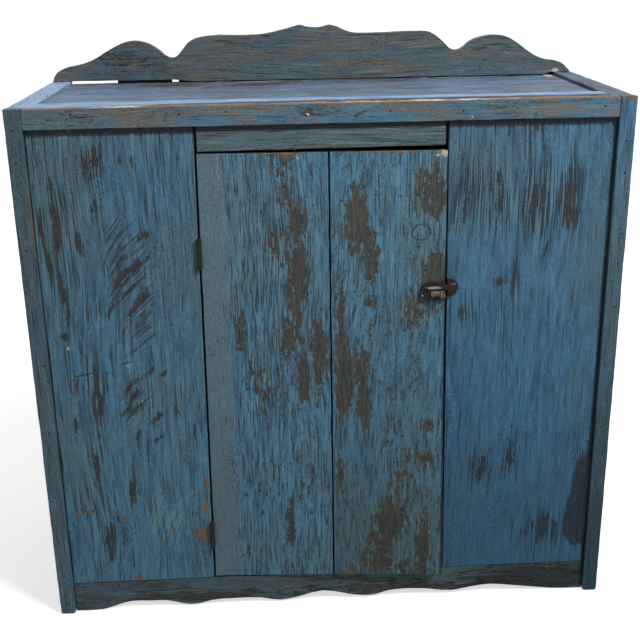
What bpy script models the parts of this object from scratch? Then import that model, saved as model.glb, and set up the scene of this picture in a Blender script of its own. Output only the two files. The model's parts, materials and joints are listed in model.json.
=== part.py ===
"""A painted board cupboard: case, batten door on two butt hinges, sliding latch and scrolled gallery.

Metres, +Z up, the front facing -Y. The origin lies on the floor, under the middle of the whole object.
"""

import math

import bmesh
import bpy
from mathutils import Matrix, Vector

# Overall sizes
CASE_WIDTH = 1.118
CASE_HEIGHT = 1.034
CASE_DEPTH = 0.440
JOINT_GAP = 0.0003
EDGE_CHAMFER = 0.0012
CUT_OVERRUN = 0.002
WELD_DISTANCE = 0.00001
CURVE_STEPS = 3
SHARP_ANGLE = math.radians(30)

# Face frame: two stiles, the fascia and the apron
STILE_WIDTH = 0.030
STILE_FOOT_RADIUS = 0.005
STILE_FOOT_SEGMENTS = 3
FRAME_THICK = 0.020
FRAME_PROUD = 0.008
FASCIA_HEIGHT = 0.037
APRON_TOP = 0.0665
APRON_RISE = 0.0221
# across from the middle by half the apron's length, and up from the floor by the highest arch
APRON_SHARES = (
    (-1.0, 0.045), (-0.898, 0.07), (-0.857, 0.32), (-0.815, 0.66), (-0.77, 0.81), (-0.698, 0.75),
    (-0.644, 0.71), (-0.582, 0.29), (-0.551, 0.18), (-0.519, 0.24), (-0.473, 0.5), (-0.384, 0.63),
    (-0.279, 0.54), (-0.207, 0.22), (-0.142, 0.39), (-0.046, 1.0), (0.003, 0.9), (0.1, 0.36),
    (0.166, 0.31), (0.223, 0.7), (0.28, 0.81), (0.362, 0.75), (0.478, 0.42), (0.527, 0.61),
    (0.593, 0.83), (0.659, 0.84), (0.734, 0.63), (0.842, 0.25), (0.943, 0.08), (1.0, 0.07),
)

# Boards of the case
BOARD_THICK = 0.020
SIDE_THICK = 0.020
BACK_THICK = 0.015
FLOOR_THICK = 0.022
FLOOR_TOP = 0.074
SHELF_THICK = 0.018
CLEAT_WIDTH = 0.025
CLEAT_THICK = 0.022
CLEAT_SETBACK = 0.045
RAIL_THICK = 0.022
RAIL_HEIGHT = 0.050
BACK_FOOT = 0.030
# Each back board in turn: its width, the gap after it, and its foot and top above the levels named
BACK_BOARD_WIDTHS = (0.1345, 0.1155, 0.245, 0.262)
BACK_BOARD_GAPS = (0.0015, 0.0155, 0.0015, 0.0015)
BACK_FOOT_STEPS = (0.0, 0.004, -0.002, 0.003, 0.001)
BACK_TOP_STEPS = (-0.014, 0.006, 0.003, 0.007, 0.004)

# Top: a shallow tray of strips round a lower panel
STRIP_THICK = 0.026
STRIP_CHAMFER = 0.002
SIDE_STRIP_WIDTH = 0.041
FRONT_STRIP_WIDTH = 0.058
PANEL_THICK = 0.020
TOP_CLEAT_WIDTH = 0.040

# Gallery board
GALLERY_INSET = 0.004
GALLERY_HEIGHT = 0.1079
GALLERY_THICK = 0.020
# across from the middle by half its length, which is the case's less the inset, and up by its height
GALLERY_SHARES = (
    (-0.999, 0.03), (-0.988, 0.14), (-0.96, 0.24), (-0.887, 0.33), (-0.847, 0.398), (-0.766, 0.631),
    (-0.727, 0.717), (-0.68, 0.753), (-0.642, 0.717), (-0.598, 0.596), (-0.553, 0.423), (-0.53, 0.434),
    (-0.506, 0.556), (-0.472, 0.733), (-0.41, 0.821), (-0.263, 0.822), (-0.185, 0.849), (-0.084, 0.962),
    (-0.052, 1.0), (-0.03, 0.968), (0.024, 0.952), (0.063, 0.99), (0.14, 0.843), (0.195, 0.823),
    (0.415, 0.841), (0.447, 0.82), (0.495, 0.645), (0.535, 0.472), (0.567, 0.487), (0.606, 0.635),
    (0.653, 0.717), (0.708, 0.742), (0.757, 0.68), (0.847, 0.365), (0.897, 0.256), (0.962, 0.183),
    (0.998, 0.02),
)

# Door opening, across from the middle at the apron's top and at the fascia's underside
OPENING_LEFT_LOW = -0.2422
OPENING_LEFT_HIGH = -0.2338
OPENING_RIGHT_LOW = 0.2312
OPENING_RIGHT_HIGH = 0.2222
HEADER_DROP_LEFT = 0.0464
HEADER_DROP_RIGHT = 0.0445
HEADER_END_GAP = 0.0053

# Door
DOOR_TOP_GAP_LEFT = 0.0038
DOOR_TOP_GAP_RIGHT = 0.0094
DOOR_FOOT_GAP_LEFT = 0.0030
DOOR_FOOT_GAP_RIGHT = 0.0010
DOOR_EDGE_GAP_LOW = 0.0050
DOOR_EDGE_GAP_HIGH = 0.0012
SEAM_LOW = 0.0044
SEAM_HIGH = 0.0061
SEAM_WIDTH = 0.0026
BATTEN_THICK = 0.020
BATTEN_CHAMFER = 0.003
BATTEN_START = 0.045
UPPER_BATTEN_HEIGHT = 0.060
UPPER_BATTEN_END = 0.020
LOWER_BATTEN_HEIGHT = 0.075
LOWER_BATTEN_END = 0.004
# The lower latch-side corner stands forward, by a warp that starts beside the hinges and under the latch
DOOR_WIND = 0.026
WIND_START = 0.030
# How the warp grows across and down the door, as powers of the shares of the way
WIND_POWER_SHARES = (1.2, 1.3)
WARP_CELL = 0.060

# Butt hinges
HINGE_LENGTH = 0.057
BARREL_RADIUS = 0.0045
PIN_RADIUS = 0.0021
PIN_HEAD_RADIUS = 0.0032
PIN_HEAD_HEIGHT = 0.0012
PIN_HEAD_RIM_SHARE = 0.6
PIN_SEGMENTS = 12
LEAF_THICK = 0.0012
LEAF_DEPTH = 0.0180
TAB_INSET = 0.0001
KNUCKLE_COUNT = 5
KNUCKLE_SEGMENTS = 20
LEAF_SCREW_SHARES = (-0.33, 0.33)
LEAF_SCREW_LENGTH = 0.016
LEAF_SCREW_RADIUS = 0.0015
LEAF_SCREW_HEAD = 0.0030

# Latch, measured from its case's right end and from the middle of its bolt
LATCH_LENGTH = 0.046
LATCH_ABOVE = 0.010
LATCH_BELOW = 0.025
LATCH_CORNER_ACROSS = 0.010
LATCH_CORNER_UP = 0.0095
LATCH_DEPTH = 0.006
LATCH_FACE_WALL = 0.002
LATCH_END_WALL = 0.0018
LATCH_SOLID_END = 0.011
LATCH_FLOOR_WALL = 0.0085
LATCH_EDGE_GAP = 0.0004
HOUSING_HEIGHT = 0.009
HOUSING_STAND = 0.0025
HOUSING_END = 0.0006
BOLT_WIDTH = 0.010
BOLT_THICK = 0.0030
BOLT_BODY_LENGTH = 0.0155
BOLT_THROW = 0.008
BOLT_CLEARANCE = 0.0012
BOLT_BEVEL = 0.002
STEM_SIZE = 0.005
THUMB_LENGTH = 0.026
THUMB_HEIGHT = 0.0105
THUMB_STAND = 0.0030
THUMB_DROP = 0.0108
KNOB_RADIUS = 0.006
KNOB_NECK_RADIUS = 0.0032
KNOB_REACH = 0.0265
KNOB_SEGMENTS = 16
KNOB_RINGS = 10
SPRING_RADIUS = 0.0013
SPRING_WIRE_RADIUS = 0.0004
SPRING_TURNS = 7
SPRING_TURN_POINTS = 8
LATCH_SCREW_LENGTH = 0.016
LATCH_SCREW_RADIUS = 0.0015
LATCH_SCREW_HEAD = 0.0027
LATCH_SCREW_DOME = 0.0014
SCREW_SEGMENTS = 10
# across by the head's radius, and out by its dome
DOME_SHARES = (0.6, 0.8)
# across from the case's right end by its length, and up from its lower edge by its height
LATCH_SCREW_SHARES = ((-0.88, 0.5), (-0.6, 0.115), (-0.1, 0.115))

# Keeper
KEEPER_LENGTH = 0.0205
KEEPER_RADIUS = 0.016
KEEPER_DEPTH = 0.007
KEEPER_EDGE_GAP = 0.0006
KEEPER_MOUTH_HEIGHT = 0.0124
KEEPER_MOUTH_LENGTH = 0.0090
KEEPER_FACE_WALL = 0.0022
KEEPER_RING_RADIUS = 0.006
KEEPER_RING_DEPTH = 0.0009
KEEPER_LINE = 0.0105
KEEPER_SCREW_SPREAD = 0.0105
KEEPER_ARC_STEPS = 14

# Finishes: colour, roughness and metallic value
PAINT_ROUGHNESS_SHARE = 0.6
WOOD_ROUGHNESS_SHARE = 0.75
IRON_ROUGHNESS_SHARE = 0.55
IRON_METALLIC_SHARE = 0.8
FINISH_SHARES = {
    "side_paint": ((0.045, 0.098, 0.133), PAINT_ROUGHNESS_SHARE, 0.0),
    "left_stile_paint": ((0.051, 0.082, 0.107), PAINT_ROUGHNESS_SHARE, 0.0),
    "right_stile_paint": ((0.042, 0.089, 0.122), PAINT_ROUGHNESS_SHARE, 0.0),
    "fascia_paint": ((0.089, 0.125, 0.144), PAINT_ROUGHNESS_SHARE, 0.0),
    "apron_paint": ((0.048, 0.054, 0.053), PAINT_ROUGHNESS_SHARE, 0.0),
    "left_board_paint": ((0.051, 0.112, 0.153), PAINT_ROUGHNESS_SHARE, 0.0),
    "right_board_paint": ((0.045, 0.112, 0.165), PAINT_ROUGHNESS_SHARE, 0.0),
    "header_paint": ((0.084, 0.117, 0.136), PAINT_ROUGHNESS_SHARE, 0.0),
    "door_left_paint": ((0.065, 0.122, 0.156), PAINT_ROUGHNESS_SHARE, 0.0),
    "door_right_paint": ((0.058, 0.105, 0.13), PAINT_ROUGHNESS_SHARE, 0.0),
    "top_panel_paint": ((0.175, 0.25, 0.352), PAINT_ROUGHNESS_SHARE, 0.0),
    "top_strip_paint": ((0.305, 0.392, 0.515), PAINT_ROUGHNESS_SHARE, 0.0),
    "gallery_paint": ((0.08, 0.102, 0.12), PAINT_ROUGHNESS_SHARE, 0.0),
    "inner_wood": ((0.162, 0.098, 0.051), WOOD_ROUGHNESS_SHARE, 0.0),
    "back_wood": ((0.127, 0.084, 0.05), WOOD_ROUGHNESS_SHARE, 0.0),
    "batten_wood": ((0.144, 0.089, 0.048), WOOD_ROUGHNESS_SHARE, 0.0),
    "hinge_iron": ((0.037, 0.045, 0.051), IRON_ROUGHNESS_SHARE, IRON_METALLIC_SHARE),
    "latch_iron": ((0.045, 0.038, 0.036), IRON_ROUGHNESS_SHARE, IRON_METALLIC_SHARE),
    "screw_iron": ((0.054, 0.048, 0.042), IRON_ROUGHNESS_SHARE, IRON_METALLIC_SHARE),
}

# Heights as shares of the case's height
SHELF_TOP_SHARES = (0.3095, 0.5658)
UPPER_HINGE_SHARE = 0.738
LOWER_HINGE_SHARE = 0.1644
UPPER_BATTEN_SHARE = 0.8346
LOWER_BATTEN_SHARE = 0.2215
BOLT_SHARE = 0.661
WIND_TOP_SHARE = 0.619

# Planes and edges that follow from the sizes above
FRONT_REACH = max(KNOB_REACH, DOOR_WIND) - FRAME_PROUD
FRONT_Y = (FRONT_REACH - CASE_DEPTH) / 2
HALF_WIDTH = CASE_WIDTH / 2
STILE_INNER = HALF_WIDTH - STILE_WIDTH
FASCIA_FOOT = CASE_HEIGHT - FASCIA_HEIGHT
TOP_UNDERSIDE = CASE_HEIGHT - STRIP_THICK
BOARD_BACK = FRAME_PROUD + BOARD_THICK
CASE_BACK = CASE_DEPTH - BACK_THICK
SIDE_INNER = HALF_WIDTH - SIDE_THICK
HINGE_GAP = 2 * LEAF_THICK + 4 * JOINT_GAP
SHELF_TOPS = [share * CASE_HEIGHT for share in SHELF_TOP_SHARES]
UPPER_HINGE_MIDDLE = UPPER_HINGE_SHARE * CASE_HEIGHT
LOWER_HINGE_MIDDLE = LOWER_HINGE_SHARE * CASE_HEIGHT
UPPER_BATTEN_MIDDLE = UPPER_BATTEN_SHARE * CASE_HEIGHT
LOWER_BATTEN_MIDDLE = LOWER_BATTEN_SHARE * CASE_HEIGHT
BOLT_MIDDLE = BOLT_SHARE * CASE_HEIGHT
WIND_TOP = WIND_TOP_SHARE * CASE_HEIGHT


def behind(distance):
    """The Y of the plane this far behind the stiles' faces."""
    return FRONT_Y + distance


def up_opening(height, low, high):
    """A value that runs evenly from the apron's top to the fascia's underside, at this height."""
    share = (height - APRON_TOP) / (FASCIA_FOOT - APRON_TOP)
    return low + (high - low) * share


def opening_left(height):
    return up_opening(height, OPENING_LEFT_LOW, OPENING_LEFT_HIGH)


def opening_right(height):
    return up_opening(height, OPENING_RIGHT_LOW, OPENING_RIGHT_HIGH)


def door_left(height):
    return opening_left(height) + HINGE_GAP


def door_right(height):
    return opening_right(height) - up_opening(height, DOOR_EDGE_GAP_LOW, DOOR_EDGE_GAP_HIGH)


def wind(point):
    """How far the warped door stands forward at a point of it."""
    left = door_left(point.z) + WIND_START
    across = (point.x - left) / (door_right(point.z) - left)
    down = (WIND_TOP - point.z) / (WIND_TOP - APRON_TOP)
    if across <= 0 or down <= 0:
        return 0.0
    across_power, down_power = WIND_POWER_SHARES
    return DOOR_WIND * across**across_power * down**down_power


def new_collection(name):
    collection = bpy.data.collections.new(name)
    bpy.context.scene.collection.children.link(collection)
    return collection


def finish_material(name, finish):
    """A material of a piece's own, in one of the finishes."""
    colour, roughness, metallic = FINISH_SHARES[finish]
    material = bpy.data.materials.new(name)
    material.use_nodes = True
    shader = material.node_tree.nodes["Principled BSDF"]
    shader.inputs["Base Color"].default_value = (*colour, 1.0)
    shader.inputs["Roughness"].default_value = roughness
    shader.inputs["Metallic"].default_value = metallic
    material.diffuse_color = (*colour, 1.0)
    return material


def mesh_from(bm, name):
    bmesh.ops.recalc_face_normals(bm, faces=bm.faces)
    mesh = bpy.data.meshes.new(name)
    bm.to_mesh(mesh)
    bm.free()
    return mesh


def bevelled(bm, edges, width, segments=1):
    if width > 0:
        bmesh.ops.bevel(
            bm, geom=edges, offset=width, offset_type="OFFSET", segments=segments, profile=0.5,
            affect="EDGES", clamp_overlap=True,
        )


def add_box(bm, low, high):
    """Adds the box between two opposite corners to a mesh, and returns its vertices."""
    low, high = Vector(low), Vector(high)
    verts = bmesh.ops.create_cube(bm, size=1.0)["verts"]
    bmesh.ops.scale(bm, vec=high - low, verts=verts)
    bmesh.ops.translate(bm, vec=(low + high) / 2, verts=verts)
    return verts


def box_mesh(name, low, high, chamfer=EDGE_CHAMFER):
    bm = bmesh.new()
    add_box(bm, low, high)
    bevelled(bm, bm.edges[:], chamfer)
    return mesh_from(bm, name)


def board_mesh(name, corners, front, thickness, chamfer=EDGE_CHAMFER, sliced=False):
    """A board whose face has these (x, z) corners: bottom left, bottom right, top right, top left."""
    bottom_left, bottom_right, top_right, top_left = (Vector(corner) for corner in corners)
    bm = bmesh.new()
    verts = bmesh.ops.create_cube(bm, size=1.0)["verts"]
    for vert in verts:
        across, up = vert.co.x + 0.5, vert.co.z + 0.5
        place = bottom_left.lerp(bottom_right, across).lerp(top_left.lerp(top_right, across), up)
        vert.co = (place.x, front + (vert.co.y + 0.5) * thickness, place.y)
    bevelled(bm, bm.edges[:], chamfer)
    if sliced:
        slice_for_warp(bm)
    return mesh_from(bm, name)


def slice_for_warp(bm):
    """Cuts a door piece into cells small enough to follow the warp."""
    left = door_left(APRON_TOP) + WIND_START
    across = math.ceil((door_right(APRON_TOP) - left) / WARP_CELL)
    down = math.ceil((WIND_TOP - APRON_TOP) / WARP_CELL)
    cuts = [((left + WARP_CELL * i, 0, 0), (1, 0, 0)) for i in range(across)]
    cuts += [((0, 0, WIND_TOP - WARP_CELL * i), (0, 0, 1)) for i in range(down)]
    for point, normal in cuts:
        geometry = bm.verts[:] + bm.edges[:] + bm.faces[:]
        bmesh.ops.bisect_plane(bm, geom=geometry, plane_co=point, plane_no=normal, dist=WELD_DISTANCE)


def rod_mesh(name, radius, length, segments, matrix):
    """A rod whose top is at the matrix's origin and which runs down its Z axis."""
    bm = bmesh.new()
    bmesh.ops.create_cone(
        bm, cap_ends=True, segments=segments, radius1=radius, radius2=radius, depth=length,
        matrix=matrix @ Matrix.Translation((0, 0, -length / 2)),
    )
    return mesh_from(bm, name)


def turned(name, profile, segments, matrix):
    """An object that turns a profile of (radius, height) pairs, from the top down, about its Z axis."""
    bm = bmesh.new()
    verts = [bm.verts.new((radius, 0, height)) for radius, height in profile]
    for pair in zip(verts, verts[1:]):
        bm.edges.new(pair)
    mesh = bpy.data.meshes.new(name)
    bm.to_mesh(mesh)
    bm.free()
    obj = bpy.data.objects.new(name, mesh)
    obj.matrix_world = matrix
    screw = obj.modifiers.new("turn", "SCREW")
    screw.axis = "Z"
    screw.steps = screw.render_steps = segments
    screw.use_merge_vertices = True
    screw.merge_threshold = WELD_DISTANCE
    return obj


def pointing(start, inward):
    """The matrix that puts a rod's top at start, with its length running inward."""
    rotation = Vector((0, 0, -1)).rotation_difference(Vector(inward)).to_matrix().to_4x4()
    return Matrix.Translation(start) @ rotation


def outline_mesh(name, points, front, thickness, smooth=()):
    """A flat piece with this (x, z) outline, which curves through the points at the smooth indices."""
    curve = bpy.data.curves.new(name, "CURVE")
    curve.dimensions = "2D"
    curve.fill_mode = "BOTH"
    curve.extrude = thickness / 2
    curve.resolution_u = CURVE_STEPS
    spline = curve.splines.new("BEZIER")
    spline.bezier_points.add(len(points) - 1)
    spline.use_cyclic_u = True
    for i, (point, (x, z)) in enumerate(zip(spline.bezier_points, points)):
        kind = "AUTO" if i in smooth else "VECTOR"
        point.co = (x, z, 0)
        point.handle_left_type = point.handle_right_type = kind
    holder = bpy.data.objects.new(name, curve)
    bpy.context.scene.collection.objects.link(holder)
    upright = Matrix.Translation((0, front + thickness / 2, 0)) @ Matrix.Rotation(math.pi / 2, 4, "X")
    holder.matrix_world = upright
    bpy.context.view_layer.update()
    graph = bpy.context.evaluated_depsgraph_get()
    mesh = bpy.data.meshes.new_from_object(holder.evaluated_get(graph))
    bpy.data.objects.remove(holder)
    bpy.data.curves.remove(curve)
    bm = bmesh.new()
    bm.from_mesh(mesh)
    bpy.data.meshes.remove(mesh)
    bmesh.ops.remove_doubles(bm, verts=bm.verts, dist=WELD_DISTANCE)
    bmesh.ops.transform(bm, matrix=upright, verts=bm.verts)
    return mesh_from(bm, name)


class Workshop:
    """Holds the collections and makes, cuts, joins and warps the pieces."""

    def __init__(self):
        self.parts = new_collection("board_cupboard")
        self.cutters = new_collection("cutters")
        self.pieces = {}

    def keep(self, obj, finish, parent=None):
        """Puts an object among the sub-parts, with its finish, on what it turns with."""
        obj.data.materials.clear()
        obj.data.materials.append(finish_material(obj.name, finish))
        self.parts.objects.link(obj)
        if parent:
            obj.parent = parent
            obj.matrix_parent_inverse = parent.matrix_world.inverted()
        self.pieces[obj.name] = obj

    def piece(self, name, mesh, finish, parent=None):
        """Makes a sub-part of a mesh in world coordinates, with its origin in its middle."""
        obj = bpy.data.objects.new(name, mesh)
        corners = [Vector(corner) for corner in obj.bound_box]
        middle = sum(corners, Vector()) / len(corners)
        mesh.transform(Matrix.Translation(-middle))
        obj.location = middle
        self.keep(obj, finish, parent)

    def combine(self, names, tool, operation):
        """Cuts a helper object out of the named pieces, or joins it to them."""
        tool.hide_render = True
        tool.display_type = "WIRE"
        self.cutters.objects.link(tool)
        for target in names:
            modifier = self.pieces[target].modifiers.new(tool.name, "BOOLEAN")
            modifier.operation = operation
            modifier.solver = "EXACT"
            modifier.object = tool

    def cut(self, names, mesh):
        self.combine(names, bpy.data.objects.new(mesh.name, mesh), "DIFFERENCE")

    def join(self, name, mesh):
        self.combine([name], bpy.data.objects.new(mesh.name, mesh), "UNION")

    def warp(self, name):
        """Bakes a door piece's modifiers and moves its points forward by the door's warp."""
        obj = self.pieces[name]
        bpy.context.view_layer.update()
        old = obj.data
        obj.data = bpy.data.meshes.new_from_object(obj.evaluated_get(bpy.context.evaluated_depsgraph_get()))
        obj.modifiers.clear()
        bpy.data.meshes.remove(old)
        obj.data.name = name
        place = obj.matrix_world.copy()
        for vert in obj.data.vertices:
            point = place @ vert.co
            point.y -= wind(point)
            vert.co = place.inverted() @ point


def make_sides(shop):
    for name, side in (("left_side", -1), ("right_side", 1)):
        low_x, high_x = sorted((side * SIDE_INNER, side * HALF_WIDTH))
        low = (low_x, behind(FRAME_THICK + JOINT_GAP), 0)
        high = (high_x, behind(CASE_BACK - JOINT_GAP), TOP_UNDERSIDE - JOINT_GAP)
        shop.piece(name, box_mesh(name, low, high), "side_paint")


def make_stiles(shop):
    """Corner stiles with rounded feet."""
    for name, side in (("left_stile", -1), ("right_stile", 1)):
        low_x, high_x = sorted((side * STILE_INNER, side * HALF_WIDTH))
        bm = bmesh.new()
        add_box(bm, (low_x, behind(0), 0), (high_x, behind(FRAME_THICK), CASE_HEIGHT))
        foot = [e for e in bm.edges if all(v.co.z < STILE_WIDTH for v in e.verts)]
        foot = [e for e in foot if e.verts[0].co.x == e.verts[1].co.x]
        bevelled(bm, foot, STILE_FOOT_RADIUS, STILE_FOOT_SEGMENTS)
        upright = [e for e in bm.edges if abs(e.verts[0].co.z - e.verts[1].co.z) > STILE_WIDTH]
        bevelled(bm, upright, EDGE_CHAMFER)
        shop.piece(name, mesh_from(bm, name), f"{name}_paint")


def make_fascia(shop):
    inner = STILE_INNER - JOINT_GAP
    low, high = (-inner, behind(0), FASCIA_FOOT), (inner, behind(FRAME_THICK), CASE_HEIGHT)
    shop.piece("top_fascia", box_mesh("top_fascia", low, high), "fascia_paint")


def make_apron(shop):
    half = STILE_INNER - JOINT_GAP
    points = [(across * half, up * APRON_RISE) for across, up in APRON_SHARES]
    curved = range(1, len(points) - 1)
    points += [(half, APRON_TOP), (-half, APRON_TOP)]
    mesh = outline_mesh("front_apron", points, behind(FRAME_PROUD), BOARD_THICK, curved)
    shop.piece("front_apron", mesh, "apron_paint")


def make_front_boards(shop):
    """The fixed boards on both sides of the door, whose inner edges lean a little."""
    low, high = APRON_TOP + JOINT_GAP, FASCIA_FOOT - JOINT_GAP
    outer = STILE_INNER - JOINT_GAP
    left = [(-outer, low), (opening_left(low), low), (opening_left(high), high), (-outer, high)]
    right = [(opening_right(low), low), (outer, low), (outer, high), (opening_right(high), high)]
    for label, corners in (("left", left), ("right", right)):
        name = f"{label}_front_board"
        mesh = board_mesh(name, corners, behind(FRAME_PROUD), BOARD_THICK)
        shop.piece(name, mesh, f"{label}_board_paint")


def make_header(shop):
    """The narrow board over the door, between the fixed boards."""
    top = FASCIA_FOOT - JOINT_GAP
    left_foot, right_foot = FASCIA_FOOT - HEADER_DROP_LEFT, FASCIA_FOOT - HEADER_DROP_RIGHT
    corners = [
        (opening_left(left_foot) + HEADER_END_GAP, left_foot),
        (opening_right(right_foot) - HEADER_END_GAP, right_foot),
        (opening_right(top) - HEADER_END_GAP, top),
        (opening_left(top) + HEADER_END_GAP, top),
    ]
    mesh = board_mesh("header_rail", corners, behind(FRAME_PROUD), BOARD_THICK)
    shop.piece("header_rail", mesh, "header_paint")


def make_levels(shop):
    """The floor and the shelves, each on a cleat along either side."""
    inner = SIDE_INNER - JOINT_GAP
    front, back = behind(BOARD_BACK + JOINT_GAP), behind(CASE_BACK - JOINT_GAP)
    levels = (
        ("floor", "floor_board", FLOOR_TOP, FLOOR_THICK),
        ("lower_shelf", "lower_shelf", SHELF_TOPS[0], SHELF_THICK),
        ("upper_shelf", "upper_shelf", SHELF_TOPS[1], SHELF_THICK),
    )
    for level, board, top, thick in levels:
        mesh = box_mesh(board, (-inner, front, top - thick), (inner, back, top))
        shop.piece(board, mesh, "inner_wood")
        cleat_top = top - thick - JOINT_GAP
        for label, side in (("left", -1), ("right", 1)):
            low_x, high_x = sorted((side * inner, side * (inner - CLEAT_THICK)))
            low = (low_x, front + CLEAT_SETBACK, cleat_top - CLEAT_WIDTH)
            high = (high_x, back - CLEAT_SETBACK, cleat_top)
            cleat = f"{level}_{label}_cleat"
            shop.piece(cleat, box_mesh(cleat, low, high), "inner_wood")


def make_top_frame(shop):
    """Rails and cleats right under the top, between the sides."""
    inner = SIDE_INNER - JOINT_GAP
    front, back = behind(BOARD_BACK + JOINT_GAP), behind(CASE_BACK - JOINT_GAP)
    top = TOP_UNDERSIDE - JOINT_GAP
    rails = (("top_front_rail", front, front + RAIL_THICK), ("top_back_rail", back - RAIL_THICK, back))
    for name, rail_front, rail_back in rails:
        low, high = (-inner, rail_front, top - RAIL_HEIGHT), (inner, rail_back, top)
        shop.piece(name, box_mesh(name, low, high), "inner_wood")
    for name, side in (("top_left_cleat", -1), ("top_right_cleat", 1)):
        low_x, high_x = sorted((side * inner, side * (inner - TOP_CLEAT_WIDTH)))
        low = (low_x, front + RAIL_THICK + JOINT_GAP, top - CLEAT_WIDTH)
        high = (high_x, back - RAIL_THICK - JOINT_GAP, top)
        shop.piece(name, box_mesh(name, low, high), "inner_wood")


def make_top(shop):
    """Strips round the top with worn edges, and the panel that lies lower between them."""
    front, back = behind(FRAME_THICK + JOINT_GAP), behind(CASE_BACK - JOINT_GAP)
    between = HALF_WIDTH - SIDE_STRIP_WIDTH - JOINT_GAP
    for name, side in (("left_top_strip", -1), ("right_top_strip", 1)):
        low_x, high_x = sorted((side * (HALF_WIDTH - SIDE_STRIP_WIDTH), side * HALF_WIDTH))
        low, high = (low_x, front, TOP_UNDERSIDE), (high_x, back, CASE_HEIGHT)
        shop.piece(name, box_mesh(name, low, high, STRIP_CHAMFER), "top_strip_paint")
    strip_back = front + FRONT_STRIP_WIDTH
    low, high = (-between, front, TOP_UNDERSIDE), (between, strip_back, CASE_HEIGHT)
    shop.piece("front_top_strip", box_mesh("front_top_strip", low, high), "top_strip_paint")
    low = (-between, strip_back + JOINT_GAP, TOP_UNDERSIDE)
    high = (between, back, TOP_UNDERSIDE + PANEL_THICK)
    shop.piece("top_panel", box_mesh("top_panel", low, high), "top_panel_paint")


def make_gallery(shop):
    """The scroll-cut board that stands on the side strips, along the back."""
    half = HALF_WIDTH - GALLERY_INSET
    base = CASE_HEIGHT + JOINT_GAP
    points = [(across * half, base + up * GALLERY_HEIGHT) for across, up in GALLERY_SHARES]
    curved = range(1, len(points) - 1)
    points += [(half, base), (-half, base)]
    front = behind(CASE_BACK - JOINT_GAP - GALLERY_THICK)
    mesh = outline_mesh("gallery_board", points, front, GALLERY_THICK, curved)
    shop.piece("gallery_board", mesh, "gallery_paint")


def back_board_spans():
    """The left and right edges of each back board."""
    spans, left = [], -HALF_WIDTH
    for width, gap in zip(BACK_BOARD_WIDTHS, BACK_BOARD_GAPS):
        spans.append((left, left + width))
        left += width + gap
    return spans + [(left, HALF_WIDTH)]


def make_back(shop):
    front, back = behind(CASE_BACK), behind(CASE_DEPTH)
    steps = zip(back_board_spans(), BACK_FOOT_STEPS, BACK_TOP_STEPS)
    for number, ((left, right), foot, top) in enumerate(steps, 1):
        name = f"back_board_{number}"
        low, high = (left, front, BACK_FOOT + foot), (right, back, CASE_HEIGHT + top)
        shop.piece(name, box_mesh(name, low, high), "back_wood")


def hinge_frame(height):
    """The matrix with its Z along the hinge axis, at this height of the axis."""
    rise = FASCIA_FOOT - APRON_TOP
    lean = math.atan((OPENING_LEFT_HIGH - OPENING_LEFT_LOW) / rise)
    place = (opening_left(height) + HINGE_GAP / 2, behind(FRAME_PROUD) - BARREL_RADIUS, height)
    return Matrix.Translation(place) @ Matrix.Rotation(lean, 4, "Y")


def make_door_axis(shop):
    """The empty that carries the door, on the hinges' axis."""
    axis = bpy.data.objects.new("door_hinge_axis", None)
    shop.parts.objects.link(axis)
    axis.matrix_world = hinge_frame(LOWER_HINGE_MIDDLE)
    bpy.context.view_layer.update()
    return axis


def make_door_boards(shop, axis):
    """Two wide boards side by side. Their tops and feet follow the header and the apron."""
    left_top = FASCIA_FOOT - HEADER_DROP_LEFT - DOOR_TOP_GAP_LEFT
    right_top = FASCIA_FOOT - HEADER_DROP_RIGHT - DOOR_TOP_GAP_RIGHT
    left_foot, right_foot = APRON_TOP + DOOR_FOOT_GAP_LEFT, APRON_TOP + DOOR_FOOT_GAP_RIGHT
    seam_top, seam_foot = (left_top + right_top) / 2, (left_foot + right_foot) / 2
    seam_half = SEAM_WIDTH / 2
    left = [
        (door_left(left_foot), left_foot),
        (SEAM_LOW - seam_half, seam_foot),
        (SEAM_HIGH - seam_half, seam_top),
        (door_left(left_top), left_top),
    ]
    right = [
        (SEAM_LOW + seam_half, seam_foot),
        (door_right(right_foot), right_foot),
        (door_right(right_top), right_top),
        (SEAM_HIGH + seam_half, seam_top),
    ]
    for label, corners in (("left", left), ("right", right)):
        name = f"door_{label}_board"
        mesh = board_mesh(name, corners, behind(FRAME_PROUD), BOARD_THICK, sliced=True)
        shop.piece(name, mesh, f"door_{label}_paint", axis)


def make_battens(shop, axis):
    """Battens across the inside of the door."""
    sizes = (
        ("upper_batten", UPPER_BATTEN_MIDDLE, UPPER_BATTEN_HEIGHT, UPPER_BATTEN_END),
        ("lower_batten", LOWER_BATTEN_MIDDLE, LOWER_BATTEN_HEIGHT, LOWER_BATTEN_END),
    )
    for name, middle, height, end in sizes:
        foot, top = middle - height / 2, middle + height / 2
        left, right = door_left(middle) + BATTEN_START, door_right(middle) - end
        corners = [(left, foot), (right, foot), (right, top), (left, top)]
        front = behind(BOARD_BACK + JOINT_GAP)
        mesh = board_mesh(name, corners, front, BATTEN_THICK, BATTEN_CHAMFER, sliced=True)
        shop.piece(name, mesh, "batten_wood", axis)


def knuckle_span(number):
    """The lower and upper end of a knuckle, along the hinge from its middle."""
    pitch = HINGE_LENGTH / KNUCKLE_COUNT
    low = -HINGE_LENGTH / 2 + number * pitch
    return low + JOINT_GAP / 2, low + pitch - JOINT_GAP / 2


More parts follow.
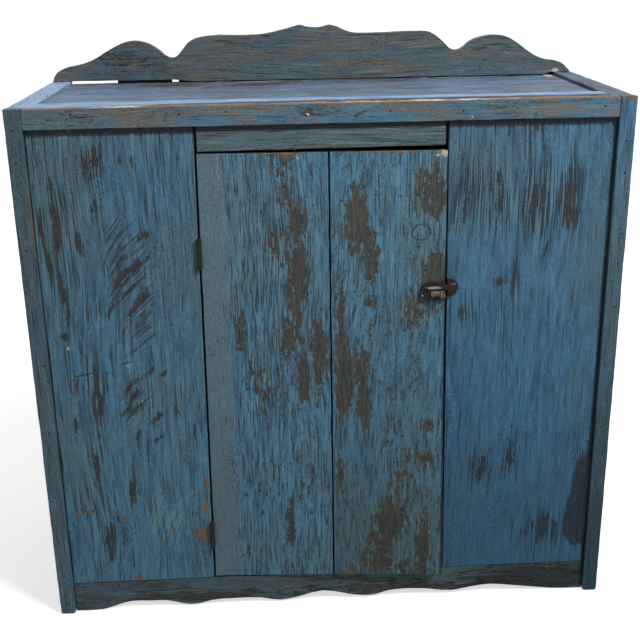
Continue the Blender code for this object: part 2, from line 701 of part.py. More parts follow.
def make_leaf(shop, name, side, numbers, frame, parent):
    """A leaf in the hinge gap with its knuckles round the pin. Side is -1 on the case, 1 on the door."""
    near, far = sorted((side * JOINT_GAP, side * (JOINT_GAP + LEAF_THICK)))
    half = HINGE_LENGTH / 2
    start = BARREL_RADIUS + JOINT_GAP
    bm = bmesh.new()
    add_box(bm, (near, start, -half), (far, BARREL_RADIUS + LEAF_DEPTH, half))
    bmesh.ops.transform(bm, matrix=frame, verts=bm.verts)
    shop.piece(name, mesh_from(bm, name), "hinge_iron", parent)
    wall_middle = (BARREL_RADIUS + PIN_RADIUS + JOINT_GAP) / 2
    for number in numbers:
        low, high = knuckle_span(number)
        bm = bmesh.new()
        tab_low = (near + TAB_INSET, wall_middle, low + TAB_INSET)
        add_box(bm, tab_low, (far - TAB_INSET, start + LEAF_THICK, high - TAB_INSET))
        bmesh.ops.transform(bm, matrix=frame, verts=bm.verts)
        shop.join(name, mesh_from(bm, f"{name}_tab_{number}"))
        place = frame @ Matrix.Translation((0, 0, high))
        knuckle = f"{name}_knuckle_{number}"
        shop.join(name, rod_mesh(knuckle, BARREL_RADIUS, high - low, KNUCKLE_SEGMENTS, place))
    place = frame @ Matrix.Translation((0, 0, half + CUT_OVERRUN))
    length = HINGE_LENGTH + 2 * CUT_OVERRUN
    bore = rod_mesh(f"{name}_bore", PIN_RADIUS + JOINT_GAP, length, KNUCKLE_SEGMENTS, place)
    shop.cut([name], bore)


def screw_leaf(shop, leaf, side, frame, board, parent):
    """Flat-headed screws through a leaf into the edge of the board beside it."""
    inward = (frame.to_3x3() @ Vector((side, 0, 0))).normalized()
    middle = BARREL_RADIUS + LEAF_DEPTH / 2
    head, shank, end = LEAF_SCREW_HEAD, LEAF_SCREW_RADIUS, -LEAF_SCREW_LENGTH
    profile = [(0, 0), (head, 0), (shank, -LEAF_THICK), (shank, end), (0, end)]
    head, shank, end = head + JOINT_GAP, shank + JOINT_GAP, end - JOINT_GAP
    hole = [(0, CUT_OVERRUN), (head, CUT_OVERRUN), (head, 0), (shank, -LEAF_THICK), (shank, end), (0, end)]
    for label, share in zip(("lower", "upper"), LEAF_SCREW_SHARES):
        place = frame @ Vector((side * JOINT_GAP, middle, share * HINGE_LENGTH))
        start = pointing(place, inward)
        name = f"{leaf}_{label}_screw"
        shop.keep(turned(name, profile, SCREW_SEGMENTS, start), "screw_iron", parent)
        shop.combine([leaf, board], turned(f"{name}_hole", hole, SCREW_SEGMENTS, start), "DIFFERENCE")


def make_hinge(shop, label, height, axis):
    """A butt hinge: a leaf on the case, a leaf on the door, and a pin with a head at each end."""
    frame = hinge_frame(height)
    case_leaf, door_leaf = f"{label}_hinge_case_leaf", f"{label}_hinge_door_leaf"
    make_leaf(shop, case_leaf, -1, range(0, KNUCKLE_COUNT, 2), frame, None)
    make_leaf(shop, door_leaf, 1, range(1, KNUCKLE_COUNT, 2), frame, axis)
    top = HINGE_LENGTH / 2 + JOINT_GAP
    rim, cap = PIN_HEAD_RADIUS * PIN_HEAD_RIM_SHARE, top + PIN_HEAD_HEIGHT
    profile = [(0, cap), (rim, cap), (PIN_HEAD_RADIUS, top), (PIN_RADIUS, top)]
    profile += [(radius, -rise) for radius, rise in reversed(profile)]
    shop.keep(turned(f"{label}_hinge_pin", profile, PIN_SEGMENTS, frame), "hinge_iron")
    screw_leaf(shop, case_leaf, -1, frame, "left_front_board", None)
    screw_leaf(shop, door_leaf, 1, frame, "door_left_board", axis)


def latch_x(distance):
    """The X of a place this far right of the latch case's right end."""
    return door_right(BOLT_MIDDLE) - LATCH_EDGE_GAP + distance


def off_door(distance):
    """The Y of a plane this far in front of the boards' faces."""
    return behind(FRAME_PROUD) - distance


def latch_box(name, across, up, out, chamfer=0):
    """A box on the door: its spans right of the latch's end, up from the bolt and out from the door."""
    low = (latch_x(across[0]), off_door(out[1]), BOLT_MIDDLE + up[0])
    high = (latch_x(across[1]), off_door(out[0]), BOLT_MIDDLE + up[1])
    return box_mesh(name, low, high, chamfer)


def screw_down(shop, name, place, through, parent, face):
    """A round-headed screw at an (x, z) place, its head on a face this far in front of the boards."""
    head, shank, dome = LATCH_SCREW_HEAD, LATCH_SCREW_RADIUS, LATCH_SCREW_DOME
    shoulder = (head * DOME_SHARES[0], dome * DOME_SHARES[1])
    end = -LATCH_SCREW_LENGTH
    profile = [(0, dome), shoulder, (head, 0), (shank, 0), (shank, end), (0, end)]
    x, z = place
    start = pointing((x, off_door(face + JOINT_GAP), z), (0, 1, 0))
    shop.keep(turned(name, profile, SCREW_SEGMENTS, start), "screw_iron", parent)
    length = LATCH_SCREW_LENGTH + 2 * JOINT_GAP + CUT_OVERRUN
    start = pointing((x, off_door(face + CUT_OVERRUN), z), (0, 1, 0))
    shop.cut(through, rod_mesh(f"{name}_hole", shank + JOINT_GAP, length, SCREW_SEGMENTS, start))


def stem_span():
    """The left and right side of the stem that joins the bolt to its thumb block."""
    right = -LATCH_END_WALL - JOINT_GAP - STEM_SIZE
    return right - STEM_SIZE, right


def make_latch_case(shop, axis):
    """A cast case with two corners cut off, hollow behind for the bolt, with a raised housing bar."""
    left, low, high = -LATCH_LENGTH, -LATCH_BELOW, LATCH_ABOVE
    outline = [
        (0, low), (0, high), (left + LATCH_CORNER_ACROSS, high), (left, high - LATCH_CORNER_UP),
        (left, low + LATCH_CORNER_UP), (left + LATCH_CORNER_ACROSS, low),
    ]
    points = [(latch_x(x), BOLT_MIDDLE + z) for x, z in outline]
    mesh = outline_mesh("latch_case", points, off_door(LATCH_DEPTH), LATCH_DEPTH - JOINT_GAP)
    shop.piece("latch_case", mesh, "latch_iron", axis)
    half, face = HOUSING_HEIGHT / 2, LATCH_DEPTH + HOUSING_STAND
    across = (left + LATCH_CORNER_ACROSS, -HOUSING_END)
    bar = latch_box("latch_housing", across, (-half, half), (LATCH_DEPTH / 2, face), EDGE_CHAMFER / 2)
    shop.join("latch_case", bar)
    hollow, bolt_top = LATCH_DEPTH - LATCH_FACE_WALL, BOLT_WIDTH / 2 + JOINT_GAP
    across, out = (left + LATCH_SOLID_END, -LATCH_END_WALL), (-CUT_OVERRUN, hollow)
    shop.cut(["latch_case"], latch_box("latch_pocket", across, (low + LATCH_FLOOR_WALL, bolt_top), out))
    across = (-2 * LATCH_END_WALL, CUT_OVERRUN)
    shop.cut(["latch_case"], latch_box("latch_way_out", across, (-bolt_top, bolt_top), out))
    stem_left, stem_right = stem_span()
    reach = STEM_SIZE / 2 + JOINT_GAP
    across = (stem_left - BOLT_THROW - JOINT_GAP, stem_right + JOINT_GAP)
    up, out = (-THUMB_DROP - reach, -THUMB_DROP + reach), (hollow - CUT_OVERRUN, face + CUT_OVERRUN)
    shop.cut(["latch_case"], latch_box("latch_slot", across, up, out))
    height = LATCH_ABOVE + LATCH_BELOW
    for number, (across, up) in enumerate(LATCH_SCREW_SHARES, 1):
        place = (latch_x(across * LATCH_LENGTH), BOLT_MIDDLE + low + up * height)
        through = ["latch_case", "door_right_board"]
        screw_down(shop, f"latch_screw_{number}", place, through, axis, LATCH_DEPTH)


def knob_profile(root):
    """A ball on a neck that starts at this distance off the door."""
    ball = KNOB_REACH - KNOB_RADIUS
    turns = [math.pi * ring / KNOB_RINGS for ring in range(KNOB_RINGS)]
    profile = [(KNOB_RADIUS * math.sin(turn), ball + KNOB_RADIUS * math.cos(turn)) for turn in turns]
    profile = [(radius, out) for radius, out in profile if out > ball or radius > KNOB_NECK_RADIUS]
    last = profile[-1][1]
    return profile + [(KNOB_NECK_RADIUS, last - KNOB_NECK_RADIUS / 2), (KNOB_NECK_RADIUS, root), (0, root)]


def make_bolt(shop, axis):
    """The sliding bolt: a body in the case, a tip in the keeper, and a thumb block with a knob."""
    right = -LATCH_END_WALL - JOINT_GAP
    half, out = BOLT_WIDTH / 2, (JOINT_GAP, JOINT_GAP + BOLT_THICK)
    up = (-LATCH_BELOW + LATCH_FLOOR_WALL + JOINT_GAP, half)
    body = latch_box("latch_bolt", (right - BOLT_BODY_LENGTH, right), up, out)
    shop.piece("latch_bolt", body, "latch_iron", axis)
    keeper_left = opening_right(BOLT_MIDDLE) + KEEPER_EDGE_GAP - latch_x(0)
    across = (right - BOLT_BEVEL, keeper_left + BOLT_THROW - BOLT_CLEARANCE)
    shop.join("latch_bolt", latch_box("bolt_tip", across, (-half, half), out))
    stem_left, stem_right = stem_span()
    reach, face = STEM_SIZE / 2, LATCH_DEPTH + JOINT_GAP
    up = (-THUMB_DROP - reach, -THUMB_DROP + reach)
    out = (BOLT_THICK / 2, face + THUMB_STAND / 2)
    shop.join("latch_bolt", latch_box("bolt_stem", (stem_left, stem_right), up, out))
    reach, thumb_right = THUMB_HEIGHT / 2, stem_right + STEM_SIZE
    across, up = (thumb_right - THUMB_LENGTH, thumb_right), (-THUMB_DROP - reach, -THUMB_DROP + reach)
    out = (face, face + THUMB_STAND)
    shop.join("latch_bolt", latch_box("bolt_thumb", across, up, out, EDGE_CHAMFER / 2))
    place = (latch_x(thumb_right - KNOB_RADIUS), off_door(0), BOLT_MIDDLE - THUMB_DROP)
    profile = knob_profile(face + THUMB_STAND / 2)
    knob = turned("bolt_knob", profile, KNOB_SEGMENTS, pointing(place, (0, 1, 0)))
    shop.combine(["latch_bolt"], knob, "UNION")


def make_spring(shop, axis):
    """The coil that pushes the bolt out, between the pocket's end and the bolt's body."""
    start = -LATCH_LENGTH + LATCH_SOLID_END + SPRING_WIRE_RADIUS + JOINT_GAP
    stop = -LATCH_END_WALL - BOLT_BODY_LENGTH - SPRING_WIRE_RADIUS - 2 * JOINT_GAP
    curve = bpy.data.curves.new("latch_spring", "CURVE")
    curve.dimensions = "3D"
    curve.bevel_depth = SPRING_WIRE_RADIUS
    curve.bevel_resolution = 1
    curve.use_fill_caps = True
    count = SPRING_TURNS * SPRING_TURN_POINTS
    spline = curve.splines.new("POLY")
    spline.points.add(count)
    for i, point in enumerate(spline.points):
        turn = math.tau * i / SPRING_TURN_POINTS
        across = (stop - start) * i / count
        point.co = (across, SPRING_RADIUS * math.cos(turn), SPRING_RADIUS * math.sin(turn), 1)
    spring = bpy.data.objects.new("latch_spring", curve)
    spring.location = (latch_x(start), off_door((LATCH_DEPTH - LATCH_FACE_WALL) / 2), BOLT_MIDDLE)
    shop.keep(spring, "screw_iron", axis)


def make_keeper(shop):
    """A D-shaped keeper on the fixed board, open toward the door, with a round recess in its face."""
    left = opening_right(BOLT_MIDDLE) + KEEPER_EDGE_GAP
    centre = left + KEEPER_LENGTH - KEEPER_RADIUS
    turns = [math.pi * (i / KEEPER_ARC_STEPS - 0.5) for i in range(KEEPER_ARC_STEPS + 1)]
    points = [(left, -KEEPER_RADIUS)]
    points += [(centre + KEEPER_RADIUS * math.cos(a), KEEPER_RADIUS * math.sin(a)) for a in turns]
    points += [(left, KEEPER_RADIUS)]
    points = [(x, BOLT_MIDDLE + z) for x, z in points]
    mesh = outline_mesh("latch_keeper", points, off_door(KEEPER_DEPTH), KEEPER_DEPTH - JOINT_GAP)
    shop.piece("latch_keeper", mesh, "latch_iron")
    half, near = KEEPER_MOUTH_HEIGHT / 2, left - latch_x(0)
    across = (near - CUT_OVERRUN, near + KEEPER_MOUTH_LENGTH)
    out = (-CUT_OVERRUN, KEEPER_DEPTH - KEEPER_FACE_WALL)
    shop.cut(["latch_keeper"], latch_box("keeper_mouth", across, (-half, half), out))
    line = left + KEEPER_LINE
    start = pointing((line, off_door(KEEPER_DEPTH + CUT_OVERRUN), BOLT_MIDDLE), (0, 1, 0))
    depth = KEEPER_RING_DEPTH + CUT_OVERRUN
    ring = rod_mesh("keeper_ring", KEEPER_RING_RADIUS, depth, KNUCKLE_SEGMENTS, start)
    shop.cut(["latch_keeper"], ring)
    for label, side in (("lower", -1), ("upper", 1)):
        place = (line, BOLT_MIDDLE + side * KEEPER_SCREW_SPREAD)
        through = ["latch_keeper", "right_front_board"]
        screw_down(shop, f"keeper_{label}_screw", place, through, None, KEEPER_DEPTH)


def smooth_iron(shop):
    """Shades the round iron pieces smooth, with their sharp edges kept."""
    for name, obj in shop.pieces.items():
        if obj.type == "MESH" and any(word in name for word in ("hinge", "latch", "keeper")):
            obj.data.shade_smooth()
            obj.data.set_sharp_from_angle(angle=SHARP_ANGLE)


def build():
    for obj in list(bpy.data.objects):
        bpy.data.objects.remove(obj)
    shop = Workshop()
    make_sides(shop)
    make_stiles(shop)
    make_fascia(shop)
    make_apron(shop)
    make_front_boards(shop)
    make_header(shop)
    make_levels(shop)
    make_top_frame(shop)
    make_top(shop)
    make_gallery(shop)
    make_back(shop)
    axis = make_door_axis(shop)
    make_door_boards(shop, axis)
    make_battens(shop, axis)
    make_hinge(shop, "upper", UPPER_HINGE_MIDDLE, axis)
    make_hinge(shop, "lower", LOWER_HINGE_MIDDLE, axis)
    make_latch_case(shop, axis)
    make_bolt(shop, axis)
    make_spring(shop, axis)
    make_keeper(shop)
    for name in ("door_left_board", "door_right_board", "lower_batten"):
        shop.warp(name)
    smooth_iron(shop)


build()
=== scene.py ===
import json
import math
import random
from dataclasses import dataclass, replace

import bmesh
import bpy
from mathutils import Matrix, Vector, noise
from mathutils.bvhtree import BVHTree

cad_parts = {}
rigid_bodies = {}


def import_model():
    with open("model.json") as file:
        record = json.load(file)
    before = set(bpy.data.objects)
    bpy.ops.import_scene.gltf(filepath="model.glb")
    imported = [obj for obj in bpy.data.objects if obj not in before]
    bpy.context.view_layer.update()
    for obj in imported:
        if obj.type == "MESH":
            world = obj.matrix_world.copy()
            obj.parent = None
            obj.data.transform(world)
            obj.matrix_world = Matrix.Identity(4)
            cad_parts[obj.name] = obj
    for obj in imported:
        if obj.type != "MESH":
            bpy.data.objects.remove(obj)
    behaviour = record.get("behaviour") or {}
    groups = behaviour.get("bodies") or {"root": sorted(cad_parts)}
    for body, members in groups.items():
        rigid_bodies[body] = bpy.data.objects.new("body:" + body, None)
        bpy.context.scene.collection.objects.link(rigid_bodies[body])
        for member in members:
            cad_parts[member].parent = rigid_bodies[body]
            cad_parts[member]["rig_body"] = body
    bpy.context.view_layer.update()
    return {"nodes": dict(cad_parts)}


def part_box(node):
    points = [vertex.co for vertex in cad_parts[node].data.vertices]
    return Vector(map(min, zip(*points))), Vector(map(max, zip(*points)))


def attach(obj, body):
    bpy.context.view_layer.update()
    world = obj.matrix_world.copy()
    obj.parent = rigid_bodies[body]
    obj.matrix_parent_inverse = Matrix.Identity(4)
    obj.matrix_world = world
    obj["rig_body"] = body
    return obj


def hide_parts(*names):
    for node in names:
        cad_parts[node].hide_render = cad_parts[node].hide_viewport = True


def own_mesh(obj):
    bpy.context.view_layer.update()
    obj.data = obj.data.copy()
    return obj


bl_info = {
    "name": "Painted board cupboard",
    "version": (1, 0, 0),
    "blender": (4, 5, 0),
    "location": "View3D > Sidebar > Cupboard",
    "description": "Dresses a board cupboard in rubbed blue paint, old wood and iron",
    "category": "Add Mesh",
}

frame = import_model()
# points closer than this are one, edges shorter than this go, and a cut's tolerance, in metres
MERGE = 1e-5
SLIVER = 2e-5
CUT_TOLERANCE = 1e-6
# faces that meet by less than the first turn are one, and by more than the second have an arris
FLAT_TURN = math.radians(1)
ARRIS_TURN = math.radians(35)
# how fast the rubbing changes along an arris, how much faster its small part does, and what is
# added to its main part so that this rubs more than half of each arris
RUB_RATE = 22.0
SMALL_RUB_RATE = 3.7
RUB_MORE = 0.1
# a nail head's sides and greatest lean in radians, its top as shares of its radius, and its
# arris as a share of its thickness
HEAD_SIDES = 8
HEAD_LEAN = 0.12
HEAD_TOP = (0.7, 0.85)
HEAD_ARRIS = 0.25
# a pit's sides, its foot and mouth as shares of the head's radius, and its height off its place
PIT_SIDES = 10
PIT_FOOT = 1.05
PIT_MOUTH = 1.35
PIT_LIFT = 0.0001
# how high the foot of a board reaches, and the length over which it comes down to its full drop
FOOT_HEIGHT = 0.004
FOOT_EASE = 0.04
# how far a board's edge reaches inward, and how near to the middle the back's inner joints lie
EDGE_DEPTH = 0.004
INNER_JOINTS = 0.5


def in_metres(sizes):
    """Sizes or places in millimetres, as metres."""
    return tuple(size / 1000.0 for size in sizes)


def chip(red, green, blue):
    """A colour read off a paint chip, 0 to 255 a channel, as Blender keeps colours."""
    def linear(value):
        share = value / 255
        return share / 12.92 if share <= 0.04045 else ((share + 0.055) / 1.055) ** 2.4
    return (linear(red), linear(green), linear(blue))


def colour(name, description, default):
    return bpy.props.FloatVectorProperty(
        name=name, description=description, size=3, subtype="COLOR",
        min=0.0, max=1.0, default=chip(*default))


def length(name, description, default):
    return bpy.props.FloatProperty(
        name=name, description=description, default=default, min=0.0,
        subtype="DISTANCE", unit="LENGTH", precision=5)


def share(name, description, default, low=0.0, high=1.0):
    return bpy.props.FloatProperty(
        name=name, description=description, default=default, min=low, max=high)


class PaintSettings(bpy.types.PropertyGroup):
    """Colours of the blue paint as it has aged, with some painted light and shade."""

    deep_blue: colour("Deep blue", "Paint in the sheltered and stained places", (50, 80, 100))
    bright_blue: colour("Bright blue", "Paint where it is thick and clean", (74, 118, 146))
    grey_deep: colour("Grey deep", "Weathered paint, dark", (64, 76, 82))
    grey_blue: colour("Grey blue", "Weathered paint, light", (80, 102, 114))
    # Top paints: lighter than the front's paint as painted light, for the top that is lit more
    top_deep_lit: colour("Sky deep", "Paint bleached on the top, dark", (86, 108, 138))
    top_blue_lit: colour("Sky blue", "Paint bleached on the top, light", (122, 150, 190))
    # Strip paints: lighter still as painted light, for the lit top and the sheen along the front
    # strip
    strip_deep_lit: colour("Pale deep", "Paint bleached most, dark", (112, 138, 166))
    strip_blue_lit: colour("Pale blue", "Paint bleached most, light", (142, 164, 192))
    film: colour("Film", "Brown grey film of dust and smoke", (98, 96, 88))
    haze: colour("Haze", "Grey green film on the paint", (76, 98, 104))
    rubbed_blue: colour("Rubbed blue", "Paint rubbed so thin that the wood shows", (58, 70, 78))
    rubbed_dark: colour("Rubbed dark", "Paint rubbed away down to the dirty grain", (46, 58, 66))
    # Dark of the stains: old dirt, and also painted shadow under the fascia, beside the stiles and
    # round the latch
    grime_and_shade: colour("Grime", "Old dirt in the corners", (24, 28, 32))
    grain_dirt: colour("Grain dirt", "Dirt held in the open grain", (34, 38, 44))
    # Pale of the grain's ridges, and also a painted highlight on the rims of worn patches and
    # rubbed leaves
    ridge_and_highlight: colour("Ridge", "Paint rubbed pale on the ridges of the grain", (104, 134, 144))
    speck: colour("Speck", "Pale specks and scuffs", (160, 176, 180))


class WoodSettings(bpy.types.PropertyGroup):
    """Colours of the wood, under the paint and bare."""

    dark_wood: colour("Dark wood", "Late wood under the worn paint", (43, 46, 48))
    brown_wood: colour("Brown wood", "Early wood under the worn paint", (86, 82, 73))
    red_wood: colour("Red wood", "Resinous streaks", (82, 68, 58))
    raw_wood: colour("Raw wood", "Fresh wood at chips and rubbed arrises", (134, 100, 72))
    cream_wood: colour("Cream wood", "Wood laid bare by a fresh chip", (192, 172, 150))
    inner_pale: colour("Inner pale", "Light wood inside the case", (136, 108, 78))
    inner_dark: colour("Inner dark", "Dark wood inside the case", (84, 62, 44))
    back_grey: colour("Back grey", "Weathered wood behind", (118, 106, 90))
    back_brown: colour("Back brown", "Dark grain behind", (72, 60, 48))


class IronSettings(bpy.types.PropertyGroup):
    """Colours of the hinges, the latch and the nails."""

    black_iron: colour("Black iron", "Old iron", (14, 13, 14))
    rust: colour("Rust", "Rust in the hollows", (38, 28, 24))
    # Bright iron for rubbed patches, and also painted highlights on the latch
    rubbed_iron_and_highlight: colour("Rubbed iron", "Iron rubbed bright by hands", (150, 136, 128))


class MakingSettings(bpy.types.PropertyGroup):
    """Sizes of the wear and of the nails."""

    arris: length("Arris", "Width of the rubbed arrises", 0.0011)
    rub: length("Rub", "How deep the arrises are rubbed at most", 0.0011)
    cut_spacing: length(
        "Cut spacing", "Distance between the points that the arrises wander by", 0.014)
    nail_head: length("Nail head", "Radius of a nail head", 0.0017)
    nail_depth: length("Nail depth", "How deep a nail head is sunk", 0.0009)
    nail_thick: length("Nail thickness", "Thickness of a nail head", 0.0008)
    foot_drop: length("Foot drop", "How far the gallery's foot sags toward the panel", 0.0048)
    joint_swell: length("Joint swell", "How far the back boards swell into their joints", 0.0006)
    bolt_travel: length("Bolt travel", "How far the drawn bolt presses the spring", 0.008)


class StudioSettings(bpy.types.PropertyGroup):
    """The camera, the lamps and the floor."""

    camera_place: bpy.props.FloatVectorProperty(
        name="Camera place", description="Where the camera stands", size=3,
        subtype="TRANSLATION", unit="LENGTH", default=(-0.0904, -1.93575, 1.2724))
    camera_turn: bpy.props.FloatVectorProperty(
        name="Camera turn", description="Yaw to the right, pitch up and roll", size=3,
        subtype="EULER", unit="ROTATION",
        default=(math.radians(2.843), math.radians(-18.416), math.radians(-0.867)))
    lens: bpy.props.FloatProperty(
        name="Lens", description="Focal length on a 36 mm sensor, in mm", default=54.983)
    shift: bpy.props.FloatVectorProperty(
        name="Shift", description="Shift of the picture, as a share of its width", size=2,
        default=(-0.0078, -0.0547))
    key_power: share("Key power", "Watts of the lamp at the upper right", 260.0, 0.0, 5000.0)
    fill_power: share("Fill power", "Watts of the lamp at the left", 10.0, 0.0, 5000.0)
    top_power: share("Top power", "Watts of the lamp over the top", 45.0, 0.0, 5000.0)
    sky: share("Sky", "Strength of the plain surroundings", 0.15, 0.0, 5.0)
    floor: colour("Floor", "Colour of the floor", (184, 184, 183))
    floor_glow: share(
        "Floor glow", "How much the floor is lifted to white where it is seen", 0.66)


class Nodes:
    """Lays out the nodes of a tree."""

    def __init__(self, tree):
        self.tree = tree
        tree.nodes.clear()

    def node(self, kind, inputs, **settings):
        made = self.tree.nodes.new(kind)
        for setting, value in settings.items():
            setattr(made, setting, value)
        for key, value in inputs.items():
            self.feed(made.inputs[key], value)
        return made

    def feed(self, socket, value):
        if isinstance(value, bpy.types.NodeSocket):
            self.tree.links.new(value, socket)
        elif socket.type == "RGBA":
            socket.default_value = (*value, 1.0)
        else:
            socket.default_value = value

    def calculated(self, kind, operation, values):
        made = self.node(kind, {}, operation=operation)
        for socket, value in zip(made.inputs, values):
            self.feed(socket, value)
        return made.outputs

    def maths(self, operation, *values):
        return self.calculated("ShaderNodeMath", operation, values)[0]

    def larger(self, first, second):
        return self.maths("MAXIMUM", first, second)

    def seen(self):
        """One for the rays that show a thing itself: of the camera, of gloss and through glass."""
        rays = self.node("ShaderNodeLightPath", {}).outputs
        straight = self.larger(rays["Is Camera Ray"], rays["Is Glossy Ray"])
        return self.larger(straight, rays["Is Transmission Ray"])


class Coat(Nodes):
    """Lays out the shader of one finish, in the object's own coordinates."""

    # for each plane: the axis that looks out of it, and how far a mark reaches along that axis
    PLANES = {"front": (1, 5.0), "side": (0, 5.0), "top": (2, 20.0)}

    def __init__(self, name, plane="front"):
        self.material = bpy.data.materials.new(name)
        self.material.use_nodes = True
        super().__init__(self.material.node_tree)
        self.plane = plane
        coordinates = self.node("ShaderNodeTexCoord", {})
        self.place = coordinates.outputs["Object"]
        self.facing = coordinates.outputs["Normal"]

    def scaled(self, value, factor, added):
        return self.maths("MULTIPLY_ADD", value, factor, added)

    def centred(self, value):
        """A share from 0 to 1 with its middle moved to 0."""
        return self.maths("SUBTRACT", value, 0.5)

    def vector(self, operation, *values):
        outputs = self.calculated("ShaderNodeVectorMath", operation, values)
        return outputs["Value" if operation in ("LENGTH", "DOT_PRODUCT") else "Vector"]

    def parts(self, vector):
        return self.node("ShaderNodeSeparateXYZ", {0: vector}).outputs[:3]

    def join(self, x, y, z):
        return self.node("ShaderNodeCombineXYZ", {0: x, 1: y, 2: z}).outputs[0]

    def placed(self, vector, location=(0, 0, 0), turn=(0, 0, 0), scale=(1, 1, 1), inverse=False):
        return self.node(
            "ShaderNodeMapping",
            {"Vector": vector, "Location": location, "Rotation": turn, "Scale": scale},
            vector_type="TEXTURE" if inverse else "POINT").outputs[0]

    def moved(self, vector, seed, rates):
        """Takes each piece to a place of its own in the noise."""
        return self.placed(vector, location=tuple(seed * rate for rate in rates))

    def cloud(self, vector, scale, detail=2.0, rough=0.5, coloured=False):
        """Noise with its own scale along each axis."""
        made = self.node(
            "ShaderNodeTexNoise",
            {"Vector": self.placed(vector, scale=scale), "Scale": 1.0, "Detail": detail,
             "Roughness": rough})
        return made.outputs[1 if coloured else 0]

    def swaying(self, vector, scale, reach):
        """Slow wandering to and fro, for bending the grain by."""
        slow = self.vector("SUBTRACT", self.cloud(vector, scale, coloured=True), (0.5,) * 3)
        return self.vector("MULTIPLY", slow, reach)

    def ramp(self, value, low, high, start=0.0, end=1.0):
        return self.node(
            "ShaderNodeMapRange", {0: value, 1: low, 2: high, 3: start, 4: end},
            interpolation_type="SMOOTHSTEP").outputs[0]

    def mix(self, share_of_second, first, second, way="MIX"):
        return self.node(
            "ShaderNodeMix", {0: share_of_second, 6: first, 7: second},
            data_type="RGBA", blend_type=way).outputs[2]

    def cover(self, surface, layer, value, low, high, most=1.0):
        """Lays a layer over a surface as a value rises from low to high."""
        return self.mix(self.ramp(value, low, high, 0.0, most), surface, layer)

    def toned(self, surface, value, low, high, darkest, lightest):
        """Darkens and lightens a surface as a value rises from low to high."""
        tone = self.ramp(value, low, high, darkest, lightest)
        grey = self.node("ShaderNodeCombineColor", {0: tone, 1: tone, 2: tone}).outputs[0]
        return self.mix(1.0, surface, grey, "MULTIPLY")

    def along_grain(self, grain):
        """Coordinates with across the grain as X, depth as Y and along the grain as Z."""
        axes = dict(zip("xyz", self.parts(self.place)))
        across, along = grain
        depth = next(axis for axis in "xyz" if axis not in grain)
        return self.join(axes[across], axes[depth], axes[along])

    def ring_distance(self, grain, heart, flat):
        """Distance from the heart of the tree, squeezed along the grain."""
        near = self.placed(grain, location=heart, scale=(1.0, 1.0, 1.0 / flat), inverse=True)
        return self.vector("LENGTH", near)

    def plume(self, grain, heart, bow):
        """A feathered figure: steep beside its axis and flatter away from it."""
        across, _, along = self.parts(grain)
        away = self.maths("ABSOLUTE", self.maths("SUBTRACT", across, heart[0]))
        root = self.maths("POWER", self.maths("ADD", away, 0.002), 0.5)
        return self.scaled(root, -bow, along)

    def marks(self, places, base=0.0):
        """Adds up soft round marks: centre and half sizes in mm, a strength and perhaps a lean."""
        total = base
        for mark in places:
            sizes = in_metres(mark[:4])
            centre, halves = list(sizes[:2]), list(sizes[2:])
            axis, reach = self.PLANES[self.plane]
            centre.insert(axis, 0.0)
            halves.insert(axis, reach)
            lean = math.radians(mark[5]) if len(mark) > 5 else 0
            near = self.placed(self.place, centre, (0, lean, 0), halves, True)
            ball = self.node("ShaderNodeTexGradient", {0: near}, gradient_type="SPHERICAL")
            total = self.scaled(ball.outputs[1], mark[4], total)
        return total

    def edge_distance(self, low, high):
        """Distance to the nearest arris of a box, for a place on its surface."""
        a, b, c = self.parts(self.vector(
            "MINIMUM", self.vector("SUBTRACT", self.place, low),
            self.vector("SUBTRACT", high, self.place)))
        further = self.maths("MINIMUM", self.larger(a, b), c)
        return self.larger(self.maths("MINIMUM", a, b), further)

    def bare_wood(self, grain, lines, dark, pale, reddest=0.7):
        """Colour of bare wood: early and late wood, and resinous streaks."""
        red = bpy.context.scene.cupboard_wood.red_wood
        streak = self.cloud(grain, (60, 60, 4), 3.0, 0.6)
        return self.cover(self.mix(lines, dark, pale), red, streak, 0.54, 0.68, reddest)

    def finish(self, base, roughness, height, depth, gloss=0.2, metallic=0.0):
        bump = self.node("ShaderNodeBump", {"Strength": 1.0, "Distance": depth, "Height": height})
        shader = self.node(
            "ShaderNodeBsdfPrincipled",
            {"Base Color": base, "Roughness": roughness, "Metallic": metallic,
             "Specular IOR Level": gloss, "Normal": bump.outputs[0]})
        self.node("ShaderNodeOutputMaterial", {0: shader.outputs[0]})
        return self.material


@dataclass(frozen=True)
class Board:
    """The paint and wear of one board, and some painted shade. Marks are as Coat.marks takes them.
    """

    level: float  # how far it is worn all over
    heart: tuple  # where the tree's heart lay, in the grain's coordinates
    # the tones multiply the colours at the top and at the foot; on some boards this darkening is
    # painted shade
    tone_and_shade: tuple  # multiply the colours at the top and at the foot
    grain: str = "xz"  # the axes across and along the grain
    plane: str = "front"
    bare: tuple = ("+y",)  # the ways that its bare inner faces look
    flat: float = 0.12  # how slowly the rings taper along the tree
    patchy: float = 0.3
    streaky: float = 0.3
    brown: float = 1.4
    film: float = 0.0
    lining: float = -0.08  # how much dark grain shows, with more of it in the lined marks
    flake: tuple = (150, 150, 34)
    comb: tuple = (400, 10)
    paints: tuple = ("deep_blue", "bright_blue")
    lined: tuple = ()
    figures: tuple = ()  # kind, heart, bow, mark and whether it is dark
    rubbed: tuple = ()
    smooth: tuple = ()
    raw: tuple = ()
    knots: tuple = ()
    # dark marks: real stains and scratches, and painted shadow under the fascia, beside the stiles,
    # behind the fascia and round the latch
    stains_and_shadows: tuple = ()
    chips: tuple = ()


